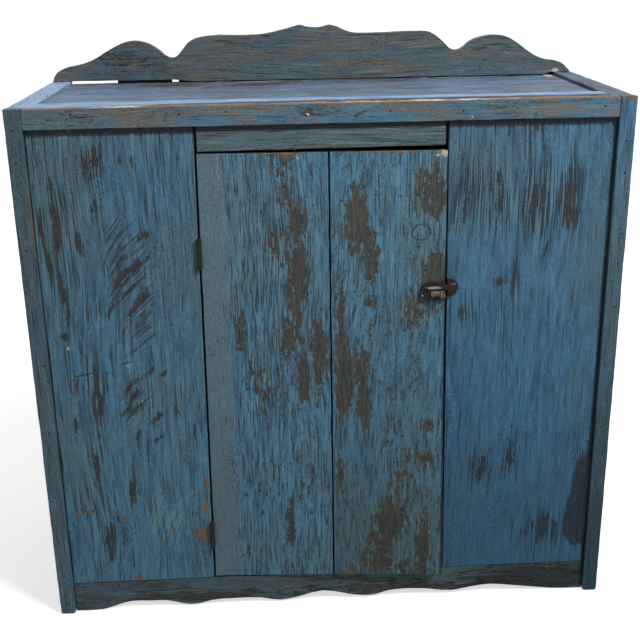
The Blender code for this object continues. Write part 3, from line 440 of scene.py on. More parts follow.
LEFT_BOARD = Board(
    tone_and_shade=((0.9, 0.88, 0.87), (0.82, 0.84, 0.8)), level=-0.18, heart=(-1.3, -0.165, 0.5),
    streaky=0.7, brown=0.25, lining=-0.065, flake=(150, 150, 26),
    lined=((-483, 777, 54, 250, 0.11), (-423, 924, 40, 80, 0.12), (-444, 455, 23, 170, 0.14),
        (-459, 258, 59, 140, 0.08), (-300, 900, 70, 100, 0.05)),
    figures=(("plume", (-0.42, -0.165, 0.0), 0.43, (-385, 740, 85, 270, 0.38), True),
        ("plume", (-0.42, -0.165, 0.0), 0.43, (-350, 660, 70, 280, 0.38), True),
        ("plume", (-0.42, -0.165, 0.0), 0.43, (-375, 474, 70, 160, 0.38), True),
        ("rings", (-0.235, -0.165, 0.05), 0.55, (-320, 206, 120, 150, 0.42), False)),
    rubbed=((-493, 895, 8, 27, 0.5), (-491, 821, 11, 65, 0.6, -3), (-516, 823, 7, 90, 0.5, -4),
        (-488, 689, 11, 80, 0.55, -5), (-508, 740, 8, 45, 0.4, -4), (-416, 940, 20, 40, 0.42),
        (-451, 786, 14, 40, 0.4, -15), (-415, 849, 14, 26, 0.34), (-367, 940, 10, 16, 0.4),
        (-346, 936, 8, 22, 0.35, -8), (-335, 798, 12, 26, 0.4, 60), (-359, 737, 10, 60, 0.4, 52),
        (-364, 699, 8, 75, 0.34, 47), (-356, 667, 12, 52, 0.36, 42),
        (-382, 618, 10, 50, 0.32, 30), (-406, 659, 10, 58, 0.34, 20), (-496, 608, 16, 12, 0.4),
        (-485, 509, 13, 36, 0.42), (-489, 425, 13, 26, 0.45), (-442, 476, 13, 140, 0.26, 2),
        (-459, 332, 13, 48, 0.45, 3), (-447, 171, 19, 44, 0.46), (-446, 128, 16, 26, 0.3),
        (-392, 285, 13, 55, 0.45, 3), (-383, 501, 8, 26, 0.5, 35), (-391, 451, 8, 22, 0.5, 35),
        (-373, 484, 8, 22, 0.4, 35), (-333, 433, 11, 32, 0.5, 38), (-317, 523, 8, 22, 0.45, 38),
        (-332, 390, 8, 22, 0.5, 45), (-341, 531, 8, 24, 0.4, 40), (-374, 396, 8, 24, 0.45, 25),
        (-295, 449, 6, 22, 0.3, -25), (-270, 771, 50, 180, -0.12), (-300, 330, 70, 120, -0.12)),
    raw=((-505, 231, 16, 13, 1.2), (-252, 235, 14, 18, 1.4), (-258, 171, 20, 34, 1.4),
        (-243, 289, 9, 26, 1.2), (-479, 232, 8, 11, 0.9), (-358, 233, 8, 9, 0.9),
        (-317, 183, 11, 10, 0.9), (-397, 70, 13, 12, 1.2), (-411, 217, 8, 10, 0.9),
        (-240, 685, 8, 14, 1)),
    # painted shadow under the fascia and beside the stile, and two scratches
    stains_and_shadows=((-390, 998, 600, 21, 1.2), (-531, 500, 7, 1500, 1), (-466, 529, 26, 1.7, 2.2, -10),
        (-384, 551, 15, 1.4, 2, -13)),
    chips=((-490.6, 584, 3.5, 5, 1.2), (-360, 470, 2, 5, 0.7), (-382, 545, 2, 5, 0.6)),
)
RIGHT_BOARD = Board(
    tone_and_shade=((0.84, 0.84, 0.85), (0.28, 0.53, 0.69)), level=-0.26, heart=(-1.2, -0.165, 1.6),
    flat=0.1, patchy=0.25, streaky=0.8, brown=0.25, lining=-0.1, flake=(170, 170, 40),
    comb=(390, 10),
    lined=((260, 869, 52, 120, 0.2, 12), (320, 839, 45, 100, 0.18), (389, 847, 60, 130, 0.25),
        (454, 853, 42, 115, 0.28), (258, 630, 42, 50, 0.2), (353, 699, 14, 75, 0.2),
        (305, 296, 36, 70, 0.22), (361, 312, 26, 55, 0.2), (433, 151, 80, 80, 0.22),
        (331, 593, 34, 55, 0.1), (380, 980, 140, 50, 0.1)),
    figures=(("rings", (0.08, -0.165, 1.25), 0.4, (257, 840, 55, 150, 0.38), True),
        ("rings", (0.1, -0.165, 0.75), 0.3, (313, 291, 70, 110, 0.28), True)),
    rubbed=((452, 813, 22, 48, 0.34), (453, 864, 30, 85, 0.22), (320, 839, 34, 75, 0.26),
        (323, 692, 26, 20, 0.46), (353, 699, 5, 60, 0.5), (409, 746, 5, 36, 0.5, 15),
        (389, 837, 45, 95, 0.2), (389, 980, 22, 18, 0.38), (318, 895, 19, 25, 0.34, -20),
        (305, 296, 26, 55, 0.34, 12), (361, 312, 21, 45, 0.34, 10), (433, 151, 60, 65, 0.3, 6),
        (258, 630, 38, 38, 0.24), (457, 440, 12, 90, 0.12)),
    # darker low at the right edge, painted shadow under the fascia and beside the stile, and
    # painted shade round the latch's keeper
    stains_and_shadows=((510, 225, 26, 135, 1.3, 2), (507, 166, 40, 75, 1.3), (380, 998, 600, 21, 1.2),
        (531, 500, 14, 1500, 1), (236, 683, 19, 23, 0.9)),
)
HEADER = Board(
    grain="zx", tone_and_shade=((0.94, 0.89, 0.84), (0.94, 0.89, 0.84)), level=-0.24,
    heart=(0.85, -0.165, 0.0), flat=0.1, streaky=0.5, brown=0.4, lining=-0.06,
    paints=("grey_deep", "grey_blue"),
    rubbed=((-50, 960, 90, 20, 0.2), (120, 955, 100, 15, 0.2)),
    # painted shadow under the fascia
    stains_and_shadows=((0, 998, 600, 18, 1.2),),
)
DOOR_LEFT = Board(
    tone_and_shade=((1.04, 1.02, 0.98), (0.8, 0.84, 0.8)), level=-0.115, heart=(-0.7, -0.165, 0.6),
    patchy=0.5, streaky=0.45, brown=0.6, lining=-0.02, flake=(130, 130, 52), comb=(400, 18),
    lined=((-232, 500, 60, 3500, -0.25), (-99, 668, 100, 300, 0.03)),
    rubbed=((-232, 500, 70, 2500, -0.5), (-55, 710, 28, 85, 0.5), (-50, 810, 20, 50, 0.35),
        (-16, 561, 20, 100, 0.45), (-168, 603, 18, 60, 0.4), (-70, 606, 45, 70, 0.3),
        (-48, 504, 14, 70, 0.45), (-94, 769, 30, 70, 0.2), (-142, 522, 30, 50, 0.2),
        (-79, 182, 12, 70, 0.45), (-173, 125, 20, 60, 0.25), (-127, 471, 20, 40, 0.2),
        (-189, 268, 20, 50, 0.2), (-20, 360, 30, 90, -0.3), (-100, 400, 50, 80, -0.2)),
    smooth=((-232, 500, 65, 2500, 1.6),),
    raw=((-69, 937, 18, 12, 0.7), (-90, 945, 130, 5, 0.6)),
    chips=((-50, 936, 5, 9, 0.6),),
)
DOOR_RIGHT = Board(
    tone_and_shade=((1.04, 1.06, 1.03), (0.6, 0.62, 0.58)), level=-0.12, heart=(0.75, -0.165, 0.5),
    patchy=0.55, streaky=0.35, brown=0.85, lining=-0.05, flake=(120, 120, 56), comb=(400, 18),
    rubbed=((58, 822, 30, 80, 0.5), (89, 752, 20, 70, 0.3), (193, 871, 50, 70, 0.4),
        (201, 722, 30, 50, 0.5), (23, 645, 18, 90, 0.35), (26, 526, 22, 100, 0.45),
        (66, 539, 30, 90, 0.25), (158, 631, 35, 55, 0.15), (81, 659, 18, 20, 0.25),
        (28, 459, 22, 70, 0.5), (70, 440, 20, 60, 0.5), (130, 311, 45, 200, 0.22),
        (20, 299, 14, 70, 0.3), (119, 188, 45, 70, 0.35), (187, 141, 22, 100, 0.45),
        (95, 112, 35, 70, 0.35), (143, 87, 40, 40, 0.3), (192, 400, 30, 20, 0.35),
        (190, 328, 30, 30, 0.3), (110, 860, 50, 40, -0.3), (125, 760, 35, 80, -0.35),
        (130, 550, 40, 50, -0.15), (55, 150, 20, 50, -0.35)),
    raw=((208, 637, 20, 28, 0.45), (91, 489, 20, 22, 0.4), (35, 73, 35, 20, 0.6),
        (120, 943, 140, 6, 0.7), (36, 238, 30, 14, 0.4)),
    knots=((176, 792, 18.5, 16.5),),
    # painted shade round the latch case, and dark lines along the door's right edge and its seam
    stains_and_shadows=((199, 676, 35, 29, 0.9), (224, 500, 5, 1500, 0.9), (4, 500, 4, 1500, 0.8)),
    chips=((217, 939, 13, 12, 0.9), (203, 935, 6, 4, 0.8)),
)
LEFT_STILE = Board(
    # the darker tones are painted shade: this stile is on the shaded side
    tone_and_shade=((0.72, 0.72, 0.76), (0.66, 0.72, 0.78)), level=-0.2, heart=(0.3, -0.165, 0.5),
    flat=0.08, patchy=0.4, brown=0.5, paints=("grey_deep", "grey_blue"),
    raw=((-529.5, 850, 4, 160, 0.8), (-558, 780, 5, 20, 0.9), (-529.5, 470, 4, 200, 0.4)),
)
RIGHT_STILE = Board(
    tone_and_shade=((0.88, 0.82, 0.8), (0.14, 0.22, 0.24)), level=-0.24, heart=(0.0, -0.165, 0.5),
    flat=0.08, brown=0.4,
    raw=((548, 1033, 30, 9, 1.2),),
)
FASCIA = Board(
    bare=("+y", "+z"),
    grain="zx", tone_and_shade=((0.98, 0.92, 0.88), (1.0, 1.0, 1.0)), level=-0.2, heart=(1.5, -0.165, 0.0),
    flat=0.06, patchy=0.4, streaky=0.2, brown=0.7, film=0.8, lining=-0.13,
    rubbed=((-440, 1020, 100, 20, 0.2), (-20, 1015, 80, 20, 0.25), (60, 1012, 50, 15, 0.25),
        (300, 1022, 60, 12, 0.2)),
    raw=((-300, 1033, 50, 4, 0.9), (-120, 1033, 50, 3, 0.8), (-170, 1012, 8, 12, 0.7),
        (-30, 1020, 10, 9, 0.6), (100, 1034, 120, 3, 0.7), (-10, 1030, 15, 4, 0.7)),
    chips=((160, 1034.5, 400, 3, 0.54), (-30, 1014, 6, 6, 0.55), (262, 1003, 4, 4, 0.7),
        (-360, 1034, 120, 2.6, 0.5)),
)
APRON = Board(
    grain="zx", tone_and_shade=((0.8, 0.8, 0.8), (0.55, 0.58, 0.56)), level=-0.06,
    heart=(0.5, -0.165, 0.0), flat=0.08, patchy=0.5, brown=1.0, paints=("grey_deep", "grey_blue"),
    rubbed=((-280, 20, 200, 20, 0.3), (150, 20, 300, 25, 0.25), (-450, 40, 70, 30, -0.3),
        (-200, 55, 100, 15, -0.2)),
    raw=((20, 0, 160, 10, 0.5), (-160, 0, 50, 8, 0.4), (310, 30, 10, 15, 0.5)),
    stains_and_shadows=((420, 30, 300, 80, 0.75),),
)
GALLERY = Board(
    grain="zx", tone_and_shade=((0.9, 0.86, 0.87), (1.0, 1.0, 1.0)), level=-0.2, heart=(1.3, 0.25, 0.1),
    patchy=0.45, streaky=0.5, brown=0.7, film=0.8, lining=-0.09,
    paints=("grey_deep", "grey_blue"),
    rubbed=((-420, 1080, 160, 50, 0.24), (-150, 1110, 100, 20, 0.2), (20, 1120, 200, 20, 0.2),
        (-20, 1060, 200, 20, -0.3), (400, 1090, 90, 20, 0.2), (250, 1060, 200, 30, -0.3),
        (-530, 1045, 30, 15, -0.6)),
    raw=((150, 1060, 60, 12, 0.3), (0, 1030.5, 500, 3, 0.5)),
    chips=((522, 1037, 12, 9, 1),),
)
PANEL = Board(
    bare=("-z",),
    grain="yx", plane="top", tone_and_shade=((0.56, 0.565, 0.555), (1.0, 1.0, 1.0)), level=-0.14,
    heart=(-0.6, 1.05, 0.3), flat=0.1, patchy=0.4, streaky=0.4, brown=1.6, film=0.8,
    paints=("top_deep_lit", "top_blue_lit"),
    rubbed=((0, 200, 900, 120, 0.2), (-300, 140, 100, 30, 0.3), (-120, 130, 100, 30, 0.3),
        (0, -120, 900, 100, -0.4)),
    raw=((-300, 160, 70, 20, 0.4), (-80, 170, 50, 30, 0.4)),
    chips=((503, 178, 16, 35, 0.8), (-100, 186, 320, 11, 0.45), (300, 186, 160, 10, 0.45),
        (235, 178, 8, 14, 0.5)),
)
RIGHT_TOP_STRIP = Board(
    bare=("-z",),
    # the dark tones are painted shade on this strip
    grain="xy", plane="top", tone_and_shade=((0.3, 0.31, 0.34), (0.4, 0.4, 0.4)), level=-0.2,
    heart=(0.0, 1.3, 0.0), flat=0.05, film=0.6, paints=("strip_deep_lit", "strip_blue_lit"),
)
TOP_STRIP = Board(
    bare=("-z",),
    grain="xy", plane="top", tone_and_shade=((0.88, 0.86, 0.84), (1.0, 1.0, 1.0)), level=-0.3,
    heart=(0.0, 1.3, 0.0), flat=0.05, paints=("strip_deep_lit", "strip_blue_lit"),
)
FRONT_STRIP = Board(
    bare=("-z",),
    grain="yx", plane="top", tone_and_shade=((0.72, 0.82, 0.9), (1.0, 1.0, 1.0)), level=-0.3,
    heart=(0.3, 1.3, 0.0), flat=0.05, paints=("strip_deep_lit", "strip_blue_lit"),
    # painted shadow along the joint behind the fascia
    stains_and_shadows=((250, -189, 800, 28, 1.5),),
)
SIDE = Board(
    bare=("+x",),
    grain="yz", plane="side", tone_and_shade=((0.94, 0.94, 0.94), (0.66, 0.72, 0.72)), level=-0.17,
    heart=(-1.1, 0.0, 0.8), patchy=0.4, streaky=0.6, brown=0.6, lining=-0.04,
    lined=((-120, 620, 80, 350, 0.07), (120, 400, 60, 300, 0.06)),
    rubbed=((-100, 700, 14, 120, 0.42), (80, 450, 18, 150, 0.4), (150, 850, 12, 100, 0.4),
        (-20, 200, 30, 60, 0.36), (-170, 300, 20, 120, 0.38), (30, 880, 20, 50, 0.36),
        (170, 150, 30, 80, 0.36), (-50, 520, 10, 70, 0.4)),
    raw=((0, 12, 250, 12, 0.6),),
)

PAINTED = {
    "left_front_board": LEFT_BOARD, "right_front_board": RIGHT_BOARD, "header_rail": HEADER,
    "door_left_board": DOOR_LEFT, "door_right_board": DOOR_RIGHT, "left_stile": LEFT_STILE,
    "right_stile": RIGHT_STILE, "top_fascia": FASCIA, "front_apron": APRON,
    "gallery_board": GALLERY, "top_panel": PANEL, "left_top_strip": TOP_STRIP,
    "right_top_strip": RIGHT_TOP_STRIP, "front_top_strip": FRONT_STRIP, "left_side": SIDE,
    "right_side": replace(SIDE, bare=("-x",)),
}
AXES = {"x": (1, 0, 0), "y": (0, 1, 0), "z": (0, 0, 1)}


def direction(word):
    """The unit vector that a word such as +y or -z stands for."""
    return Vector(AXES[word[1]]) * (1 if word[0] == "+" else -1)


class PaintedCoat(Coat):
    """The worn blue paint of one board, with the wood it was brushed on."""

    # how much the flecks of the grain add to the wear
    FLECK_WEIGHT = 1.2

    def __init__(self, node_name, seed):
        self.board = PAINTED[node_name]
        super().__init__(f"{node_name}_{slot_of(node_name)}", self.board.plane)
        self.paint = bpy.context.scene.cupboard_paint
        self.wood = bpy.context.scene.cupboard_wood
        self.lay_grain(seed)
        self.draw_figures()
        self.wear_away(node_name)

    def lay_grain(self, seed):
        """Lays the grain round the heart of the tree, never quite straight."""
        board = self.board
        straight = self.along_grain(board.grain)
        moved = self.moved(straight, seed, (3.17, 1.71, 5.39))
        self.sway = self.swaying(moved, (5.0, 5.0, 2.2), (0.05, 0.02, 0.0))
        self.swayed = self.vector("ADD", straight, self.sway)
        self.depth, self.along = self.parts(self.vector("ADD", moved, self.sway))[1:]
        radius = self.ring_distance(self.swayed, board.heart, board.flat)
        grain = self.grain = self.grain_at(radius)
        self.flecks = self.cloud(grain, board.flake, 7.0, 0.7)
        self.streaks = self.cloud(grain, (board.comb[0], *board.comb))
        self.fine = self.cloud(grain, (700, 700, 120), 2.0, 0.6)
        self.patches = self.cloud(grain, (17, 17, 5), 4.0, 0.6)
        open_grain = self.cloud(grain, (380, 380, 230), 2.0, 0.55)
        self.pores = self.scaled(self.centred(self.patches), 0.4, open_grain)
        self.haze = self.cloud(self.place, (3.1, 3.1, 2.6), 3.0, 0.55)
        self.browned = min(1.0, board.brown)
        lines = self.scaled(self.streaks, 0.7, self.maths("MULTIPLY", self.fine, 0.5))
        self.lines = self.ramp(lines, 0.48, 0.72, 0.0, self.browned)

    def grain_at(self, across):
        """The grain's coordinates at this distance across it."""
        return self.join(across, self.depth, self.along)

    def draw_figures(self):
        """Draws the dark and pale lines and the figures of the grain."""
        lined = self.marks(self.board.lined, self.board.lining)
        self.dark = self.maths("ADD", self.centred(self.streaks), lined)
        self.comb = self.scaled(lined, 0.3, self.maths("SUBTRACT", 0.5, self.streaks))
        self.pale = self.leaves = -1.0
        for kind, heart, bow, mark, is_dark in self.board.figures:
            within = self.marks([mark], -0.80)
            if kind == "plume":
                figure = self.grain_at(self.plume(self.swayed, heart, bow))
                leaf = self.cloud(figure, (85, 85, 15), 6.0, 0.7)
                self.leaves = self.larger(self.leaves, self.maths("ADD", leaf, within))
            else:
                figure = self.grain_at(self.ring_distance(self.swayed, heart, bow))
            drawn = self.maths("ADD", self.cloud(figure, (240, 240, 9), 3.0, 0.6), within)
            if is_dark:
                self.dark = self.larger(self.dark, drawn)
            else:
                self.pale = self.larger(self.pale, drawn)

    def wear_away(self, node_name):
        """Adds up what wears the paint: it is gone where the sum is above 0."""
        edge = self.edge_distance(*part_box(node_name))
        edge = self.scaled(self.centred(self.flecks), 0.012, edge)
        self.edge = self.ramp(edge, 0.0, 0.003, 1.0, 0.0)
        self.raw = self.marks(self.board.raw)
        start = self.board.level - 0.5 * (self.FLECK_WEIGHT + self.board.patchy)
        worth = self.marks(self.board.rubbed, start)
        weights = ((self.flecks, self.FLECK_WEIGHT), (self.patches, self.board.patchy),
                   (self.dark, self.board.streaky), (self.edge, 0.16), (self.raw, 0.30))
        for part, weight in weights:
            worth = self.scaled(part, weight, worth)
        self.worn = self.ramp(worth, -0.014, 0.020)
        self.thin = self.ramp(worth, -0.09, 0.0)
        # a pale rim round each worn patch, laid on as a painted highlight
        self.rim = self.maths("SUBTRACT", self.ramp(worth, -0.05, -0.02), self.worn)

    def blue(self):
        """The paint, with its films, its rubbed places and what the grain draws in it."""
        paint, board = self.paint, self.board
        deep, light = (getattr(paint, name) for name in board.paints)
        shades = self.cloud(self.grain, (75, 75, 13), 7.0, 0.72)
        blue = self.cover(deep, light, shades, 0.28, 0.66)
        if board.plane != "top":
            blue = self.cover(blue, paint.haze, self.haze, 0.42, 0.62, 0.6)
        if board.film:
            film = self.cloud(self.grain, (34, 34, 7), 8.0, 0.74)
            blue = self.cover(blue, paint.film, film, 0.44, 0.58, board.film)
        if board.smooth:
            blue = self.cover(blue, paint.grey_blue, self.marks(board.smooth), 0.1, 0.8)
        blue = self.mix(self.maths("MULTIPLY", self.thin, 0.75), blue, paint.rubbed_blue)
        blue = self.toned(blue, self.fine, 0.3, 0.7, 0.80, 1.20)
        # painted highlight on the rims of the worn patches
        blue = self.cover(blue, paint.ridge_and_highlight, self.rim, 0.1, 0.9, 0.4)
        if board.figures:
            # painted highlight on the rims of the rubbed leaves
            leaf_rim_highlight = self.maths("SUBTRACT", self.ramp(self.leaves, -0.02, 0.0),
                                  self.ramp(self.leaves, 0.01, 0.02))
            blue = self.cover(blue, paint.rubbed_dark, self.leaves, 0.0, 0.03, 0.75)
            blue = self.mix(self.maths("MULTIPLY", leaf_rim_highlight, 0.5), blue, paint.ridge_and_highlight)
        blue = self.cover(blue, paint.ridge_and_highlight, self.comb, 0.08, 0.13, 0.5)
        blue = self.cover(blue, paint.ridge_and_highlight, self.pale, 0.03, 0.09, 0.65)
        blue = self.cover(blue, paint.grain_dirt, self.dark, 0.045, 0.085, 0.8)
        return self.cover(blue, paint.grain_dirt, self.pores, 0.645, 0.69, 0.75)

    def worn_wood(self):
        """The wood where the paint is gone, fresher where it was knocked."""
        bare = self.bare_wood(self.grain, self.lines, self.wood.dark_wood, self.wood.brown_wood,
                              0.7 * self.browned)
        knocked = self.scaled(self.centred(self.flecks), 1.6, self.raw)
        knocked = self.scaled(self.edge, 0.22, knocked)
        bare = self.cover(bare, self.wood.raw_wood, knocked, 0.3, 0.7, 0.8)
        return self.cover(bare, self.paint.rubbed_blue, self.fine, 0.50, 0.62, 0.5)

    def stained_and_shaded(self, surface):
        """Lays the stains and painted shadows, the knots' dark rings and pale specks over a
        surface.
        """
        if self.board.stains_and_shadows:
            stain_and_shadow = self.marks(self.board.stains_and_shadows, -0.5)
            stain_and_shadow = self.scaled(self.maths("ADD", self.flecks, self.streaks), 0.5, stain_and_shadow)
            surface = self.cover(surface, self.paint.grime_and_shade, stain_and_shadow, 0.22, 0.5, 0.9)
        for knot in self.board.knots:
            first, second, half_first, half_second = in_metres(knot)
            bend = self.vector("MULTIPLY", self.sway, (0.3,) * 3)
            near = self.placed(self.vector("ADD", self.place, bend), (first, 0.0, second),
                               scale=(half_first, 50.0, half_second), inverse=True)
            away = self.maths("SUBTRACT", self.vector("LENGTH", near), 0.9)
            ring = self.scaled(self.flecks, 0.9, self.maths("ABSOLUTE", away))
            surface = self.cover(surface, self.paint.grain_dirt, ring, 0.60, 0.44, 0.85)
        specks = self.scaled(self.haze, 0.15, self.cloud(self.place, (220, 220, 620), 1.0))
        return self.cover(surface, self.paint.speck, specks, 0.825, 0.86, 0.8)

    def shaded(self, surface):
        """Multiplies a surface by the board's tones, which hold some painted shade, from the foot
        to the top.
        """
        top, foot = self.board.tone_and_shade
        height_share = self.ramp(self.parts(self.place)[2], 0.0, 1.0)
        return self.mix(1.0, surface, self.mix(height_share, foot, top), "MULTIPLY")

    def bared(self, surface):
        """Leaves the inner faces bare, and the chips of the day."""
        inner = self.bare_wood(
            self.grain, self.lines, self.wood.inner_dark, self.wood.inner_pale)
        for word in self.board.bare:
            turned = self.vector("DOT_PRODUCT", self.facing, direction(word))
            surface = self.cover(surface, inner, turned, 0.5, 0.8)
        if self.board.chips:
            chips = self.maths("ADD", self.marks(self.board.chips, -0.5), self.flecks)
            split = self.toned(self.wood.cream_wood, self.fine, 0.35, 0.65, 0.62, 1.1)
            surface = self.cover(surface, split, chips, 0.30, 0.40)
        return surface

    def dressed(self):
        """The finished material."""
        surface = self.mix(self.worn, self.blue(), self.worn_wood())
        surface = self.bared(self.shaded(self.stained_and_shaded(surface)))
        rough = self.scaled(self.worn, 0.25, self.ramp(self.fine, 0.3, 0.7, 0.5, 0.66))
        height = self.scaled(self.worn, -0.6, self.maths("MULTIPLY", self.fine, 0.3))
        height = self.scaled(self.ramp(self.dark, -0.05, 0.1), -0.5, height)
        height = self.scaled(self.ramp(self.pores, 0.62, 0.7), -0.4, height)
        return self.finish(surface, rough, height, 0.0009)


def timber(name, grain_axis, dark, pale, seed, weathered=0.0):
    """Bare old wood of one board: rings, pores, streaks and dust."""
    coat = Coat(name)
    grain = coat.moved(coat.along_grain(grain_axis), seed, (2.13, 1.37, 4.61))
    sway = coat.swaying(grain, (4.0, 4.0, 1.2), (0.08, 0.05, 0.0))
    grain = coat.vector("ADD", grain, sway)
    rings = coat.cloud(grain, (110, 110, 2.2), 3.0, 0.55)
    fine = coat.cloud(grain, (600, 600, 30), 2.0, 0.6)
    pores = coat.cloud(grain, (1100, 1100, 55), 1.0)
    lines = coat.scaled(rings, 0.7, coat.maths("MULTIPLY", fine, 0.5))
    bare = coat.bare_wood(grain, coat.ramp(lines, 0.44, 0.76), dark, pale)
    dirt = coat.cloud(coat.place, (4.5, 4.5, 4.5), 4.0, 0.6)
    bare = coat.cover(bare, dark, dirt, 0.45, 0.75, 0.55)
    bare = coat.cover(bare, dark, pores, 0.6, 0.7, 0.6)
    if weathered:
        grey = coat.cloud(grain, (30, 30, 3), 3.0)
        back_grey = bpy.context.scene.cupboard_wood.back_grey
        bare = coat.cover(bare, back_grey, grey, 0.35, 0.65, weathered)
    height = coat.scaled(rings, 0.5, coat.maths("MULTIPLY", fine, 0.35))
    height = coat.scaled(pores, -0.3, height)
    return coat.finish(bare, coat.ramp(fine, 0.3, 0.7, 0.7, 0.88), height, 0.0005)


def iron(name, seed, rubbed=0.0, reach=0.50, rubs_and_highlights=()):
    """Old black iron with rust in patches, pitted, and bright where hands rub it, with painted
    highlights at the listed marks.
    """
    metal = bpy.context.scene.cupboard_iron
    coat = Coat(name)
    place = coat.moved(coat.place, seed, (1.9, 0.7, 2.3))
    patches = coat.cloud(place, (190, 190, 190), 4.0, 0.65)
    pits = coat.cloud(place, (900, 900, 900), 3.0, 0.6)
    bright = coat.ramp(patches, reach - 0.16, reach, rubbed, 0.0)
    if rubs_and_highlights:
        # the listed marks: rubbed places and painted highlights where light catches the latch
        hands = coat.maths("ADD", coat.marks(rubs_and_highlights, -0.5), patches)
        bright = coat.larger(bright, coat.ramp(hands, 0.25, 0.45, 0.0, 0.9))
    surface = coat.cover(metal.black_iron, metal.rust, patches, 0.46, 0.62)
    surface = coat.mix(bright, surface, metal.rubbed_iron_and_highlight)
    surface = coat.toned(surface, pits, 0.3, 0.7, 0.7, 1.15)
    rough = coat.ramp(pits, 0.3, 0.7, 0.45, 0.75)
    return coat.finish(
        surface, rough, pits, 0.0003, 0.15, coat.maths("MULTIPLY", bright, 0.35))


# Each row of nails: its board, the way they are driven, and their places on it in mm
NAIL_ROWS = {
    "left_stile_nails": ("left_stile", "+y", ((-546, 997), (-546, 939), (-545, 779), (-547, 640),
        (-537, 553), (-542, 412), (-545, 272), (-544, 91), (-553.5, 72), (-547.5, 41),
        (-542, 23))),
    "right_stile_nails": ("right_stile", "+y", ((545, 954), (546.5, 895), (550, 780), (548, 721),
        (548, 633.5), (538, 518), (541.5, 381), (544, 231), (543, 23))),
    "fascia_nails": ("top_fascia", "+y", ((-443.5, 1022.6), (-256, 1019), (-174, 1022),
        (-34, 1012), (115.5, 1017), (246, 1014.5), (501, 1017))),
    "apron_nails": ("front_apron", "+y", ((-437, 58.5), (-398, 58.5), (-361, 56), (-232, 56),
        (-180, 56), (318, 47))),
    "door_left_nails": ("door_left_board", "+y", ((-118, 872), (-47, 870), (-164, 252),
        (-49, 228), (-225, 576))),
    "door_right_nails": ("door_right_board", "+y", ((28, 855), (88.5, 855), (136, 861), (29, 215),
        (106, 211), (143, 217), (215, 213))),
    "left_side_nails": ("left_side", "+x", ((-140, 35), (20, 37), (170, 34), (-150, 293),
        (30, 295), (160, 291), (-130, 558), (10, 556), (170, 560), (-150, 990), (0, 992),
        (160, 989))),
    "right_side_nails": ("right_side", "-x", ((-150, 34), (10, 36), (160, 37), (-140, 294),
        (20, 292), (170, 295), (-140, 557), (20, 559), (160, 556), (-140, 991), (10, 989),
        (170, 991))),
    "back_1_nails": ("back_board_1", "-y", ((-530, 63), (-450, 64), (-530, 311), (-450, 310),
        (-530, 576), (-450, 577), (-530, 992), (-450, 990))),
    "back_2_nails": ("back_board_2", "-y", ((-400, 63), (-330, 62), (-400, 311), (-330, 312),
        (-400, 577), (-330, 575), (-400, 990), (-330, 992))),
    "back_3_nails": ("back_board_3", "-y", ((-270, 62), (-70, 64), (-270, 310), (-70, 312),
        (-270, 575), (-70, 577), (-270, 992), (-70, 990))),
    "back_4_nails": ("back_board_4", "-y", ((-20, 64), (190, 63), (-20, 311), (190, 312),
        (-20, 577), (190, 575), (-20, 990), (190, 992))),
    "back_5_nails": ("back_board_5", "-y", ((250, 63), (400, 64), (530, 62), (250, 312),
        (400, 310), (530, 311), (250, 575), (400, 577), (530, 576), (250, 991), (400, 990),
        (530, 992))),
}


def nails_of(node_name):
    """The nail row driven into a board, or None."""
    found = [row for row in NAIL_ROWS.values() if row[0] == node_name]
    return found[0] if found else None


def nail_seat(tree, way, spot):
    """Where a nail driven that way meets the board."""
    heading = direction(way)
    first, second = in_metres(spot)
    start = Vector((first, 0.0, second) if way[1] == "y" else (0.0, first, second))
    found, normal = tree.ray_cast(start - heading * 2.0, heading)[:2]
    if found is None:
        raise ValueError(f"no wood under the nail at {first}, {second}")
    return found, normal


def upright(normal, place):
    """A matrix that stands on a surface with its Z along the normal."""
    turn = normal.to_track_quat("Z", "Y").to_matrix().to_4x4()
    return Matrix.Translation(place) @ turn


def keep_piece(shape, name, finish, body):
    """Makes an object of a bmesh, gives it its finish and lets it ride on its body."""
    for face in shape.faces:
        face.smooth = False
    mesh = bpy.data.meshes.new(name)
    shape.to_mesh(mesh)
    shape.free()
    old_normals = mesh.attributes.get("custom_normal")
    if old_normals:
        mesh.attributes.remove(old_normals)
    mesh.materials.append(finish)
    piece = bpy.data.objects.new(name, mesh)
    bpy.context.scene.collection.objects.link(piece)
    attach(piece, body)
    return piece


def body_of(node_name):
    """The body that a CAD node rides on."""
    return frame["nodes"][node_name]["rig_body"]


def slot_of(node_name):
    """The record's material slot of a CAD node."""
    return frame["nodes"][node_name].material_slots[0].material.name


def sink_pits(shape, row):
    """Cuts the round pits that the nail heads sit in."""
    sizes = bpy.context.scene.cupboard_making
    tree = BVHTree.FromBMesh(shape)
    cutter = bmesh.new()
    for spot in row[2]:
        place, normal = nail_seat(tree, row[1], spot)
        bmesh.ops.create_cone(
            cutter, cap_ends=True, segments=PIT_SIDES, radius1=sizes.nail_head * PIT_FOOT,
            radius2=sizes.nail_head * PIT_MOUTH,
            depth=(sizes.nail_depth + sizes.nail_thick) * 2.0,
            matrix=upright(normal, place + normal * PIT_LIFT))
    made = []
    for name, solid in (("board_before_pits", shape), ("pit_cutter", cutter)):
        mesh = bpy.data.meshes.new(name)
        solid.to_mesh(mesh)
        made.append(bpy.data.objects.new(name, mesh))
        bpy.context.scene.collection.objects.link(made[-1])
    cutter.free()
    board, pits = made
    cut = board.modifiers.new("pits", "BOOLEAN")
    cut.operation = "DIFFERENCE"
    cut.solver = "EXACT"
    cut.object = pits
    graph = bpy.context.evaluated_depsgraph_get()
    pitted = bpy.data.meshes.new_from_object(board.evaluated_get(graph))
    shape.clear()
    shape.from_mesh(pitted)
    for mesh in (board.data, pits.data, pitted):
        bpy.data.meshes.remove(mesh)


